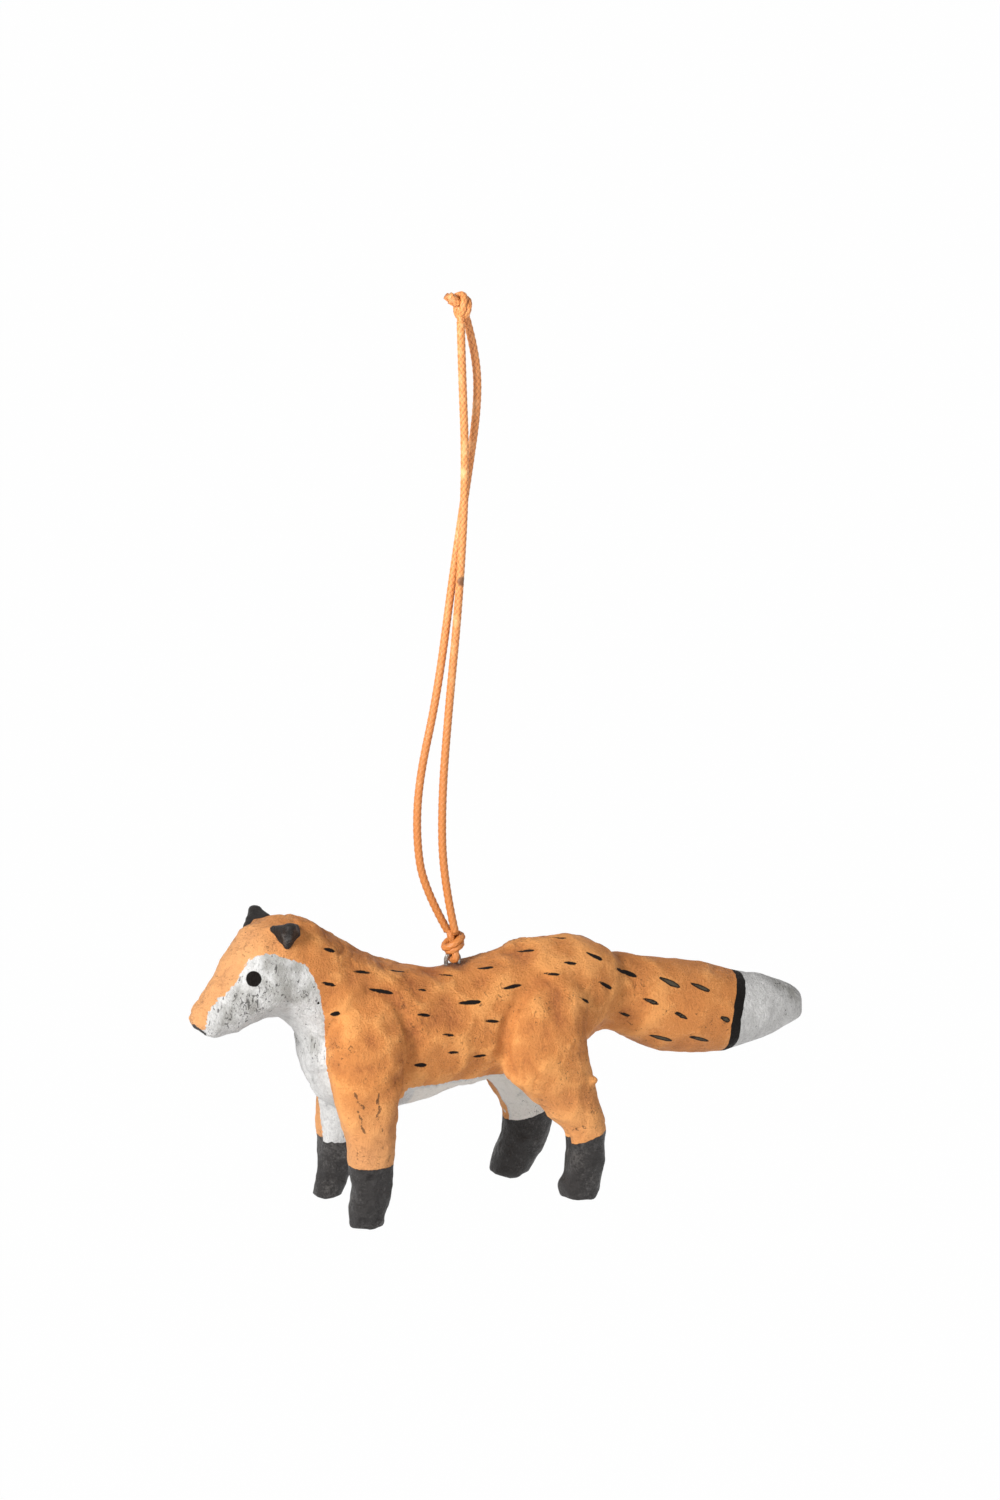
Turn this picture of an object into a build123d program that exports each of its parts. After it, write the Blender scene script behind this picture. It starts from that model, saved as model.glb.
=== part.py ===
from build123d import *
from math import cos, pi, radians, sin, tan
import os

os.makedirs("parts", exist_ok=True)

# A hanging fox ornament: a wire frame, rolled paper cores, one skin of paper pulp over them, and a
# loop of waxed cord tied through a wire eye in the back. Sizes are in millimetres.
# The row's origin is the top of the cord loop, under the upper knot. The fox itself is laid out
# from the point on its back where the eye stands: -X to the nose, -Y to its left side, +Z up.

# Cord loop
LOOP_DROP = 122.3
LOOP_LEAN = 3.5
CORD_D = 1.6
CORD_LAY_GAP = 0.25
BIGHT_BEND = 0.7
KNOT_WIDTH = 4.6
KNOT_HEIGHT = 2.8
KNOT_PLUMPNESS = 0.9
LOW_TURN_SLANT = 18.0
HIGH_TURN_SLANT = -22.0
TOP_KNOT_LEAN = 50.0
TOP_KNOT_FOOT = (0.6, 0.0, 2.1)
CUT_END_LENGTH = 1.6
CUT_END_GAP = 0.16

# Wire eye in the back
EYE_X = 1.1
EYE_WIRE_D = 0.8
EYE_CLEARANCE = 0.15
EYE_STAND = 1.0
EYE_DEPTH = 5.0
EYE_FOOT_LENGTH = 3.0
# Share of a half circle's radius that the arch's two bends take, so that a flat is left between them
FULL_ARCH = 0.999

# Wire frame
WIRE_D = 1.6
WIRE_BEND = 2.5
WIRE_GAP = 0.1
SPINE_Z = -9.0
LEG_WIRE_RUN = 9.0
LEG_WIRE_SKEW = 3.2
LEG_WIRE_BENDS = [-33.0, -18.0]
TAPE_LENGTH = 3.6
TAPE_THICKNESS = 0.4

# Paper skin over the cores
SKIN = 2.0
ROLL_TIP = 0.9
TAIL_ROLL_WALL = 1.5
TAIL_HOLLOW_FROM = 3
FOOT_Z = -45.6
EAR_SINK = 2.5
EAR_HEIGHT = 3.5

# Stations along the body: x, middle z, half height, half width
TORSO = [
    (-29.8, -10.8, 4.2, 4.4),
    (-28.1, -11.9, 7.5, 7.0),
    (-25.9, -12.5, 10.9, 9.2),
    (-20.0, -11.2, 15.1, 11.5),
    (-10.0, -12.0, 13.5, 11.7),
    (0.0, -12.0, 11.6, 11.1),
    (10.0, -10.5, 12.2, 11.0),
    (20.0, -9.4, 12.8, 11.1),
    (27.5, -7.6, 10.7, 9.5),
    (33.0, -6.4, 7.7, 6.9),
    (36.0, -6.9, 4.6, 4.4),
]
TAIL = [
    (27.0, -8.0, 7.4, 6.4),
    (35.0, -9.0, 7.9, 6.6),
    (41.0, -11.5, 8.9, 7.4),
    (48.0, -13.2, 9.1, 8.0),
    (55.0, -14.5, 8.8, 7.9),
    (62.0, -15.3, 7.5, 6.9),
    (70.0, -15.5, 5.5, 5.2),
    (75.0, -15.7, 3.7, 3.5),
    (76.6, -15.8, 2.4, 2.3),
]
# Stations across a slanted axis: x, z, half height, half width
NECK_SLOPE = (-0.82, 0.57)
NECK = [
    (-17.0, -8.0, 10.8, 9.5),
    (-22.5, -4.5, 10.6, 9.5),
    (-27.9, 0.0, 9.2, 9.0),
    (-33.8, 3.6, 9.4, 8.6),
    (-38.5, 6.4, 6.0, 6.0),
]
HEAD_SLOPE = (-0.85, -0.527)
HEAD = [
    (-29.0, 6.5, 5.0, 5.5),
    (-31.5, 5.7, 8.2, 7.8),
    (-35.6, 3.5, 9.9, 8.6),
    (-39.8, 0.8, 8.4, 7.9),
    (-44.4, -2.2, 6.0, 5.8),
    (-48.4, -4.5, 4.2, 4.3),
    (-50.5, -5.5, 3.3, 3.5),
    (-52.0, -6.3, 2.1, 2.3),
]
# Stations down a leg: x, distance from the middle, z, half length, half width
FRONT_LEG = [
    (-19.5, 6.6, -3.0, 5.0, 3.0),
    (-20.5, 9.0, -9.0, 7.5, 4.8),
    (-21.2, 9.9, -16.0, 7.3, 5.2),
    (-21.6, 10.5, -23.0, 6.0, 4.8),
    (-21.3, 10.9, -29.0, 5.0, 4.4),
    (-21.1, 11.0, -35.0, 4.4, 4.1),
    (-21.1, 11.0, -40.0, 3.8, 3.6),
    (-21.8, 11.0, -43.5, 3.3, 3.3),
    (-22.0, 11.0, FOOT_Z, 3.0, 3.0),
]
HIND_LEG = [
    (18.4, 6.0, -1.5, 5.2, 3.0),
    (16.9, 8.6, -7.0, 8.0, 4.8),
    (15.9, 9.6, -14.0, 8.7, 5.4),
    (16.9, 10.1, -21.0, 8.3, 5.1),
    (21.2, 10.6, -27.5, 5.5, 4.6),
    (23.8, 11.0, -33.5, 4.0, 4.0),
    (23.4, 11.0, -39.5, 4.1, 3.9),
    (22.8, 11.0, -43.0, 3.9, 3.6),
    (22.7, 11.0, FOOT_Z, 3.2, 3.0),
]
# How far along the body each whole leg, and then its foot alone, is set from its drawn place, and how
# thick the leg is beside the drawn one. FOOT_REACH keeps the foot's share of it low down.
STANCE = {
    "front_left": (0.0, 0.0, 1.0),
    "front_right": (3.6, -2.0, 0.92),
    "hind_left": (-0.3, 0.0, 1.0),
    "hind_right": (-0.3, -3.9, 1.17),
}
FOOT_REACH = 4

# Ear: foot x, distance from the middle, z, lean back and outward of its tip, half sizes at the foot
EAR_PLACE = (-35.9, 6.6, 9.9)
EAR_TIP_SHIFT = (-0.6, 1.5)
EAR_LENGTH = 2.7
EAR_WIDTH = 1.9
# Its taper: share of the way from root to tip, and share of its half sizes there
EAR_TAPER = [(0.0, 1.0), (0.45, 0.95), (0.8, 0.6), (1.0, 0.22)]

# Spine wire: x and z of its bends, nose to tail, with the straight stretch through the body
SPINE_HEAD = [(-46.5, -2.7), (-36.5, 4.0)]
SPINE_STRAIGHT = (-26.0, 29.0)
SPINE_TAIL = [(39.0, -11.0), (42.5, -12.0)]
SHOULDER_X = -19.5
HIP_X = 18.5

# Route of each strand from the upper knot to the lower one
FRONT_ROUTE = [
    (-0.9, -0.9, 0.2),
    (-0.7, -1.0, -9.0),
    (0.1, -1.0, -28.0),
    (-1.3, -0.9, -52.0),
    (-3.4, -0.8, -72.0),
    (-5.0, -0.8, -90.0),
    (-4.8, -0.9, -105.0),
    (-2.3, -0.9, -115.7),
]
REAR_ROUTE = [
    (0.8, 0.9, 1.5),
    (3.0, 0.9, -5.5),
    (3.6, 0.9, -15.0),
    (1.4, 0.9, -29.0),
    (-1.8, 0.9, -48.0),
    (-5.0, 0.9, -70.0),
    (-8.9, 0.9, -86.0),
    (-9.5, 0.9, -97.0),
    (-8.0, 0.9, -107.0),
    (-3.0, 0.9, -115.8),
]

# Where the first corner of each form's ovals lies, in degrees, so that no two meet corner to corner
TORSO_START = 45.0
NECK_START = 30.0
HEAD_START = 60.0
TAIL_START = 20.0

# Share of a cord's shorter run that its arc may take on each side of a bend
ARC_SHARE = 0.45

HANG = Pos(-LOOP_LEAN, 0, -LOOP_DROP)


def outline(plane, half_a, half_b, start=45.0):
    """Oval face of four Bezier quarters, half_a by half_b, whose first corner is at start degrees."""
    reach = 4 / 3 * tan(radians(90) / 4)
    corners = [radians(start + 90 * quarter) for quarter in range(5)]
    quarters = []
    for first, last in zip(corners, corners[1:]):
        begin = Vector(half_a * cos(first), half_b * sin(first))
        end = Vector(half_a * cos(last), half_b * sin(last))
        leave = Vector(-half_a * sin(first), half_b * cos(first)) * reach
        arrive = Vector(-half_a * sin(last), half_b * cos(last)) * reach
        quarters.append(Bezier(begin, begin + leave, end - arrive, end))
    return plane * make_face(Curve() + quarters)


def barrel(stations, start, slope=(1.0, 0.0), inset=0.0):
    """Loft through ovals across a slope in the XZ plane, drawn in all round by inset."""
    along = Vector(slope[0], 0, slope[1]).normalized()
    last = len(stations) - 1
    faces = []
    for number, (x, z, half_height, half_width) in enumerate(stations):
        if min(half_height, half_width) < inset + ROLL_TIP:
            continue
        middle = Vector(x, 0, z)
        if number == 0:
            middle += along * inset
        if number == last:
            middle -= along * inset
        plane = Plane(origin=middle, x_dir=(0, 1, 0), z_dir=along)
        faces.append(outline(plane, half_width - inset, half_height - inset, start))
    return loft(faces)


def set_along(stations, stance, z):
    """How far along the body a leg is set at height z: all of it, and its foot by the lowest part."""
    top = stations[0][2]
    lowering = (z - top) / (FOOT_Z - top)
    return stance[0] + stance[1] * lowering**FOOT_REACH


def leg(stations, side, stance, inset=0.0):
    """Loft down a leg on one side (-1 left, +1 right), drawn in all round by inset."""
    faces = []
    for number, (x, spread, z, half_length, half_width) in enumerate(stations):
        middle = Vector(x + set_along(stations, stance, z), side * spread, z)
        if number == 0:
            middle.Z -= inset
        if number == len(stations) - 1:
            middle.Z += inset
        half_a, half_b = half_length * stance[2] - inset, half_width * stance[2] - inset
        faces.append(outline(Plane(origin=middle), half_a, half_b))
    return loft(faces)


def leg_middle(stations, side, stance, z):
    """Point on a leg's middle line at height z, between its two nearest stations."""
    for upper, lower in zip(stations, stations[1:]):
        if lower[2] <= z <= upper[2]:
            share = (z - upper[2]) / (lower[2] - upper[2])
            x = upper[0] + share * (lower[0] - upper[0])
            spread = upper[1] + share * (lower[1] - upper[1])
            return (x + set_along(stations, stance, z), side * spread, z)


def wire(points, diameter, bend):
    """Round wire along straight runs joined by arcs of one bend radius."""
    path = FilletPolyline(*points, radius=bend)
    return sweep(Plane(origin=path @ 0, z_dir=path % 0) * Circle(diameter / 2), path=path)


def cord(name, points):
    """Cord tube whose arcs are as large as its runs allow."""
    corners = [Vector(*point) for point in points]
    radii = []
    for before, here, after in zip(corners, corners[1:], corners[2:]):
        turn = (here - before).get_angle(after - here)
        shorter = min((here - before).length, (after - here).length)
        radii.append(ARC_SHARE * shorter / tan(radians(turn / 2)))
    path = FilletPolyline(*points, radius=radii)
    tube = sweep(Plane(origin=path @ 0, z_dir=path % 0) * Circle(CORD_D / 2), path=path)
    share = tube.volume / (pi * CORD_D**2 / 4 * path.length)
    print(name, "radii", [round(r, 1) for r in radii], "length", round(path.length, 1))
    print(name, "volume over section times length", round(share, 4))
    return tube


def knot():
    """Overhand knot drawn tight: two slanted turns round a plump middle, foot at the origin."""
    turn_middle = (KNOT_WIDTH - CORD_D) / 2
    middle = Pos(0, 0, KNOT_HEIGHT / 2)
    plump = (KNOT_PLUMPNESS, KNOT_PLUMPNESS, KNOT_HEIGHT / KNOT_WIDTH)
    body = middle * scale(Sphere(KNOT_WIDTH / 2), by=plump)
    low_turn = middle * Pos(0, 0, -CORD_D / 2) * Rot(X=LOW_TURN_SLANT) * Torus(turn_middle, CORD_D / 2)
    high_turn = middle * Pos(0, 0, CORD_D / 2) * Rot(Y=HIGH_TURN_SLANT) * Torus(turn_middle, CORD_D / 2)
    return body + low_turn + high_turn


# Cores: each roll is trimmed where a larger one lies
torso_roll = barrel(TORSO, TORSO_START, inset=SKIN)
neck_roll = barrel(NECK, NECK_START, NECK_SLOPE, inset=SKIN) - torso_roll
head_roll = barrel(HEAD, HEAD_START, HEAD_SLOPE, inset=SKIN) - [torso_roll, neck_roll]
tail_roll = barrel(TAIL, TAIL_START, inset=SKIN) - torso_roll
tail_hollow = barrel(TAIL[TAIL_HOLLOW_FROM:], TAIL_START, inset=SKIN + TAIL_ROLL_WALL)

legs = {"front": FRONT_LEG, "hind": HIND_LEG}
sides = {"left": -1, "right": 1}
leg_rolls = {}
leg_forms = []
for end, stations in legs.items():
    for hand, side in sides.items():
        name = end + "_" + hand
        stance = STANCE[name]
        leg_rolls[name] = leg(stations, side, stance, inset=SKIN) - [torso_roll, neck_roll]
        leg_forms.append(leg(stations, side, stance))

# Skin: one outer form less all the rolls that it covers
head_form = barrel(HEAD, HEAD_START, HEAD_SLOPE) + barrel(NECK, NECK_START, NECK_SLOPE)
outer = barrel(TORSO, TORSO_START) + [head_form, barrel(TAIL, TAIL_START)] + leg_forms
skin = outer - ([torso_roll, neck_roll, head_roll, tail_roll] + list(leg_rolls.values()))

# Wire frame: the spine, and one wire down each pair of legs that crosses over it
spine_points = [(x, 0, z) for x, z in SPINE_HEAD]
spine_points += [(x, 0, SPINE_Z) for x in SPINE_STRAIGHT]
spine_points += [(x, 0, z) for x, z in SPINE_TAIL]
spine_wire = wire(spine_points, WIRE_D, WIRE_BEND)


def leg_wire(end, cross_x):
    """Wire from the left foot up over the spine and down to the right foot."""
    stations = legs[end]
    foot_z = FOOT_Z + SKIN + WIRE_D
    crossing_z = SPINE_Z + WIRE_D + WIRE_GAP
    half_run = LEG_WIRE_RUN / 2
    half_skew = LEG_WIRE_SKEW / 2
    points = []
    for hand, side in sides.items():
        stance = STANCE[end + "_" + hand]
        column = [leg_middle(stations, side, stance, z) for z in [foot_z] + LEG_WIRE_BENDS]
        points.append(column if side < 0 else column[::-1])
    crossing = [
        (cross_x - half_run, -half_skew, crossing_z),
        (cross_x + half_run, half_skew, crossing_z),
    ]
    return wire(points[0] + crossing + points[1], WIRE_D, WIRE_BEND)


def tape(cross_x):
    """Band of paper tape round the spine and the wire that crosses over it."""
    half_width = LEG_WIRE_SKEW / 2 + WIRE_D / 2
    low = SPINE_Z - WIRE_D / 2
    high = SPINE_Z + WIRE_D / 2 + WIRE_GAP + WIRE_D
    middle = Plane(origin=(cross_x, 0, (low + high) / 2), x_dir=(0, 1, 0), z_dir=(1, 0, 0))
    inner = RectangleRounded(2 * half_width, high - low, WIRE_D / 2)
    band = RectangleRounded(
        2 * (half_width + TAPE_THICKNESS),
        high - low + 2 * TAPE_THICKNESS,
        WIRE_D / 2 + TAPE_THICKNESS,
    )
    return extrude(middle * (band - inner), TAPE_LENGTH / 2, both=True)


front_leg_wire = leg_wire("front", SHOULDER_X)
hind_leg_wire = leg_wire("hind", HIP_X)
shoulder_tape = tape(SHOULDER_X)
hip_tape = tape(HIP_X)

# Eye: an arch over the cord, with legs through the skin and feet turned out in the core
arch_radius = CORD_D / 2 + EYE_CLEARANCE + EYE_WIRE_D / 2
eye_bend = EYE_WIRE_D
arch_bend = arch_radius * FULL_ARCH
hanging_eye = Pos(EYE_X, 0, 0) * wire(
    [
        (-arch_radius - EYE_FOOT_LENGTH, 0, -EYE_DEPTH),
        (-arch_radius, 0, -EYE_DEPTH),
        (-arch_radius, 0, EYE_STAND + arch_radius),
        (arch_radius, 0, EYE_STAND + arch_radius),
        (arch_radius, 0, -EYE_DEPTH),
        (arch_radius + EYE_FOOT_LENGTH, 0, -EYE_DEPTH),
    ],
    EYE_WIRE_D,
    [eye_bend, arch_bend, arch_bend, eye_bend],
)

# Ears: pinched cones seated on the head
ears = {}
for hand, side in sides.items():
    foot = Vector(EAR_PLACE[0], side * EAR_PLACE[1], EAR_PLACE[2])
    tip = foot + Vector(EAR_TIP_SHIFT[0], side * EAR_TIP_SHIFT[1], EAR_HEIGHT)
    root = foot + (foot - tip).normalized() * EAR_SINK
    rise = (tip - root).normalized()
    faces = []
    for share, size in EAR_TAPER:
        plane = Plane(origin=root + (tip - root) * share, x_dir=(1, 0, 0), z_dir=rise)
        faces.append(outline(plane, EAR_LENGTH * size, EAR_WIDTH * size))
    ears[hand + "_ear"] = loft(faces) - head_form

# Cord: the bight through the eye with its knot, the two strands, and the knot of the cut ends
bight_bend = CORD_D * BIGHT_BEND
bight_half = EYE_WIRE_D / 2 + CORD_LAY_GAP + bight_bend
knot_foot = EYE_STAND + arch_radius + EYE_WIRE_D / 2 + CORD_LAY_GAP
bight = wire(
    [
        (0, -bight_half, knot_foot + KNOT_HEIGHT / 2),
        (0, -bight_half, EYE_STAND),
        (0, bight_half, EYE_STAND),
        (0, bight_half, knot_foot + KNOT_HEIGHT / 2),
    ],
    CORD_D,
    bight_bend,
)
lower_knot = Pos(EYE_X, 0, 0) * (bight + Pos(0, 0, knot_foot) * knot())

top_knot = knot()
for side in sides.values():
    stub = Pos(0, side * (CORD_D + CUT_END_GAP) / 2, KNOT_HEIGHT / 2) * Circle(CORD_D / 2)
    top_knot += extrude(stub, KNOT_HEIGHT / 2 + CUT_END_LENGTH)
top_knot = Pos(*TOP_KNOT_FOOT) * Rot(Y=-TOP_KNOT_LEAN) * top_knot
front_strand = cord("front_strand", FRONT_ROUTE)
rear_strand = cord("rear_strand", REAR_ROUTE)

# Bores for the wires in the rolls that they run through
torso_core = torso_roll - [
    spine_wire,
    front_leg_wire,
    hind_leg_wire,
    shoulder_tape,
    hip_tape,
    hanging_eye,
]
skin -= hanging_eye

fox = {
    "paper_skin": skin,
    "torso_core": torso_core,
    "neck_core": neck_roll - spine_wire,
    "head_core": head_roll - spine_wire,
    "tail_core": tail_roll - [spine_wire, tail_hollow],
    "spine_wire": spine_wire,
    "front_leg_wire": front_leg_wire,
    "hind_leg_wire": hind_leg_wire,
    "shoulder_tape": shoulder_tape,
    "hip_tape": hip_tape,
    "hanging_eye": hanging_eye,
    "lower_knot": lower_knot,
}
fox.update(ears)
for name, roll in leg_rolls.items():
    own_wire = front_leg_wire if name.startswith("front") else hind_leg_wire
    fox[name + "_leg_core"] = roll - own_wire

nodes = {name: HANG * form for name, form in fox.items()}
nodes["front_strand"] = front_strand
nodes["rear_strand"] = rear_strand
nodes["top_knot"] = top_knot

for name, form in nodes.items():
    export_step(form, "parts/" + name + ".step")
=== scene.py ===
import bmesh
import bpy
import numpy as np
import random
from math import cos, pi, radians, sin
from mathutils import Matrix, Vector, noise
from mathutils.bvhtree import BVHTree


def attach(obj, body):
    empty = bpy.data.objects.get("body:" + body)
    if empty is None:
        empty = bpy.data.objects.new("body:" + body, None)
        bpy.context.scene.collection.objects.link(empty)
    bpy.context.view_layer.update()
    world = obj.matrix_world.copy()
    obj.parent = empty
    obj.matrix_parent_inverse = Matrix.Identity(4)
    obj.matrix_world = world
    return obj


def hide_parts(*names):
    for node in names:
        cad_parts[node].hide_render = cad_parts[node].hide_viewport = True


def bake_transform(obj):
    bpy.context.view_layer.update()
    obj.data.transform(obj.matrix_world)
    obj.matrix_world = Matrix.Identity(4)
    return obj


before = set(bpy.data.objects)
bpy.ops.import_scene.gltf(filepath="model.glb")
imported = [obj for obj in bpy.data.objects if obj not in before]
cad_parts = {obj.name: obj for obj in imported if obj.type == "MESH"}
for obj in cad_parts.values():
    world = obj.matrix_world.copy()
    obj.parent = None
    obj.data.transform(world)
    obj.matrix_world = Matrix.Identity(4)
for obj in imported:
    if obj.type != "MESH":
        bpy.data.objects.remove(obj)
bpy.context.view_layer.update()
scene = bpy.context.scene
MM = 0.001

# Viewpoint: the fox hangs a metre from the lens, seen from its left side, a little from the front
# and from above. The top of the cord loop, the row's origin, shows at LOOP_TOP_AT in the picture.
PICTURE_WIDTH, PICTURE_HEIGHT = 1000, 1500
VIEW_AZIMUTH, VIEW_ELEVATION = radians(-26.0), radians(11.8)
VIEW_DISTANCE = 1000.0
FOCAL_PIXELS = 5400.0
LOOP_TOP_AT = (463.0, 322.0)
SENSOR_HEIGHT = 36.0

view_back = Vector((
    sin(VIEW_AZIMUTH) * cos(VIEW_ELEVATION),
    -cos(VIEW_AZIMUTH) * cos(VIEW_ELEVATION),
    sin(VIEW_ELEVATION),
))
view_right = Vector((cos(VIEW_AZIMUTH), sin(VIEW_AZIMUTH), 0.0))
view_up = view_back.cross(view_right)


def sight_line(across, down):
    """Direction from the lens through a point of the picture."""
    step_right = (across - PICTURE_WIDTH / 2) / FOCAL_PIXELS
    step_up = (PICTURE_HEIGHT / 2 - down) / FOCAL_PIXELS
    return view_right * step_right + view_up * step_up - view_back


lens_at = -sight_line(*LOOP_TOP_AT) * VIEW_DISTANCE
camera = bpy.data.objects.new("camera", bpy.data.cameras.new("camera"))
scene.collection.objects.link(camera)
camera.data.sensor_fit = "VERTICAL"
camera.data.sensor_height = SENSOR_HEIGHT
camera.data.sensor_width = SENSOR_HEIGHT
camera.data.lens = FOCAL_PIXELS / PICTURE_HEIGHT * SENSOR_HEIGHT
camera.data.clip_start, camera.data.clip_end = 0.05, 100.0
view_turn = Matrix((view_right, view_up, view_back)).transposed().to_4x4()
camera.matrix_world = Matrix.Translation(lens_at * MM) @ view_turn
scene.camera = camera

# Wire frame: one galvanised steel wire along the spine and one down each pair of legs, cut from a
# coil and bent by hand. It shows nowhere, and carries the paper.
WIRE_GREY = (0.42, 0.42, 0.41, 1.0)
WIRE_DULL = (0.26, 0.26, 0.25, 1.0)
WIRE_SPANGLE, WIRE_SCRATCHES, WIRE_RELIEF = 900.0, 2500.0, 0.00004


def start_material(name):
    """New material, with its node tree and its surface shader."""
    material = bpy.data.materials.new(name)
    material.use_nodes = True
    tree = material.node_tree
    return material, tree, tree.nodes["Principled BSDF"]


def place(tree, kind, settings=None, **inputs):
    """Add a node. Inputs are given by socket name, as a value or as the socket that feeds it."""
    node = tree.nodes.new(kind)
    for name, value in (settings or {}).items():
        setattr(node, name, value)
    for name, value in inputs.items():
        socket = node.inputs[int(name[1:])] if name[1:].isdigit() else node.inputs[name.replace("_", " ")]
        if isinstance(value, bpy.types.NodeSocket):
            tree.links.new(value, socket)
        else:
            socket.default_value = value
    return node


def own_place(tree):
    """Position on the piece, in metres of the shared frame."""
    return place(tree, "ShaderNodeTexCoord").outputs["Object"]


def grain(tree, vector, scale, detail=3.0, roughness=0.6, twist=0.0):
    """Soft noise from 0 to 1 at a scale given per metre. Twist draws it out in curls."""
    node = place(
        tree,
        "ShaderNodeTexNoise",
        Vector=vector,
        Scale=scale,
        Detail=detail,
        Roughness=roughness,
        Distortion=twist,
    )
    return node.outputs["Fac"]


def limits(tree, value, low, high, to_low=0.0, to_high=1.0):
    """Value drawn out from low..high to to_low..to_high, with soft ends."""
    node = place(
        tree,
        "ShaderNodeMapRange",
        {"interpolation_type": "SMOOTHSTEP"},
        Value=value,
        From_Min=low,
        From_Max=high,
        To_Min=to_low,
        To_Max=to_high,
    )
    return node.outputs["Result"]


def sums(tree, operation, first, second):
    """One sum of two values."""
    return place(tree, "ShaderNodeMath", {"operation": operation}, _0=first, _1=second).outputs[0]


def scaled(tree, value, share):
    """A share of a value."""
    return sums(tree, "MULTIPLY", value, share)


def tint(tree, share, first, second):
    """Colour between two colours."""
    node = place(tree, "ShaderNodeMix", {"data_type": "RGBA"})
    for socket, value in ((node.inputs[0], share), (node.inputs[6], first), (node.inputs[7], second)):
        if isinstance(value, bpy.types.NodeSocket):
            tree.links.new(value, socket)
        else:
            socket.default_value = value
    return node.outputs[2]


def relief(tree, shader, height, depth):
    """Small unevenness of a surface, depth in metres."""
    bump = place(tree, "ShaderNodeBump", Height=height, Distance=depth, Strength=1.0)
    tree.links.new(bump.outputs["Normal"], shader.inputs["Normal"])


def dress(name, material):
    """Give a CAD node its material."""
    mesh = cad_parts[name].data
    mesh.materials.clear()
    mesh.materials.append(material)


frame_wire, tree, shader = start_material("frame_wire")
spot = own_place(tree)
spangle = grain(tree, spot, WIRE_SPANGLE)
tree.links.new(tint(tree, spangle, WIRE_DULL, WIRE_GREY), shader.inputs["Base Color"])
tree.links.new(limits(tree, spangle, 0.2, 0.8, 0.35, 0.6), shader.inputs["Roughness"])
shader.inputs["Metallic"].default_value = 1.0
relief(tree, shader, grain(tree, spot, WIRE_SCRATCHES), WIRE_RELIEF)
for name in ("spine_wire", "front_leg_wire", "hind_leg_wire"):
    dress(name, frame_wire)

# Tape: two bands of crepe paper tape that bind the leg wires to the spine. Its fine cross wrinkles
# run round the wires.
TAPE_TAN = (0.62, 0.49, 0.28, 1.0)
TAPE_PALE = (0.76, 0.66, 0.45, 1.0)
TAPE_WRINKLES, TAPE_RELIEF = 1400.0, 0.00008

crepe_tape, tree, shader = start_material("crepe_tape")
spot = own_place(tree)
wrinkle = place(
    tree, "ShaderNodeTexWave", Vector=spot, Scale=TAPE_WRINKLES, Distortion=3.0, Detail=2.0
).outputs["Fac"]
tree.links.new(tint(tree, wrinkle, TAPE_TAN, TAPE_PALE), shader.inputs["Base Color"])
shader.inputs["Roughness"].default_value = 0.8
relief(tree, shader, wrinkle, TAPE_RELIEF)
for name in ("shoulder_tape", "hip_tape"):
    dress(name, crepe_tape)

# Paper rolls: waste paper, rolled loosely for body, tail and legs and packed hard for neck and head,
# tied on round the wires. The grey of old print shows in patches.
ROLL_PAPER = (0.56, 0.52, 0.45, 1.0)
ROLL_GREY = (0.33, 0.32, 0.30, 1.0)
ROLL_PRINT, ROLL_CREASES, ROLL_RELIEF = 420.0, 260.0, 0.0003

rolled_paper, tree, shader = start_material("rolled_paper")
spot = own_place(tree)
print_grey = limits(tree, grain(tree, spot, ROLL_PRINT, 6.0, 0.75), 0.45, 0.62)
crease = place(
    tree, "ShaderNodeTexVoronoi", {"feature": "DISTANCE_TO_EDGE"}, Vector=spot, Scale=ROLL_CREASES
).outputs["Distance"]
tree.links.new(tint(tree, print_grey, ROLL_PAPER, ROLL_GREY), shader.inputs["Base Color"])
shader.inputs["Roughness"].default_value = 0.85
relief(tree, shader, limits(tree, crease, 0.0, 0.12), ROLL_RELIEF)
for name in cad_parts:
    if name.endswith("_core"):
        dress(name, rolled_paper)

# Skin: paper pulp pressed on over the rolls by hand, in one lumpy coat, and painted when dry. The
# forms repeat the solid's stations, in millimetres from the point of the back where the eye stands.
BACK_AT = Vector((-3.5, 0.0, -122.3))
FOOT_Z = -45.6
TORSO = [
    (-29.8, -10.8, 4.2, 4.4),
    (-28.1, -11.9, 7.5, 7.0),
    (-25.9, -12.5, 10.9, 9.2),
    (-20.0, -11.2, 15.1, 11.5),
    (-10.0, -12.0, 13.5, 11.7),
    (0.0, -12.0, 11.6, 11.1),
    (10.0, -10.5, 12.2, 11.0),
    (20.0, -9.4, 12.8, 11.1),
    (27.5, -7.6, 10.7, 9.5),
    (33.0, -6.4, 7.7, 6.9),
    (36.0, -6.9, 4.6, 4.4),
]
TAIL = [
    (27.0, -8.0, 7.4, 6.4),
    (35.0, -9.0, 7.9, 6.6),
    (41.0, -11.5, 8.9, 7.4),
    (48.0, -13.2, 9.1, 8.0),
    (55.0, -14.5, 8.8, 7.9),
    (62.0, -15.3, 7.5, 6.9),
    (70.0, -15.5, 5.5, 5.2),
    (75.0, -15.7, 3.7, 3.5),
    (76.6, -15.8, 2.4, 2.3),
]
NECK_SLOPE = (-0.82, 0.57)
NECK = [
    (-17.0, -8.0, 10.8, 9.5),
    (-22.5, -4.5, 10.6, 9.5),
    (-27.9, 0.0, 9.2, 9.0),
    (-33.8, 3.6, 9.4, 8.6),
    (-38.5, 6.4, 6.0, 6.0),
]
HEAD_SLOPE = (-0.85, -0.527)
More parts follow.
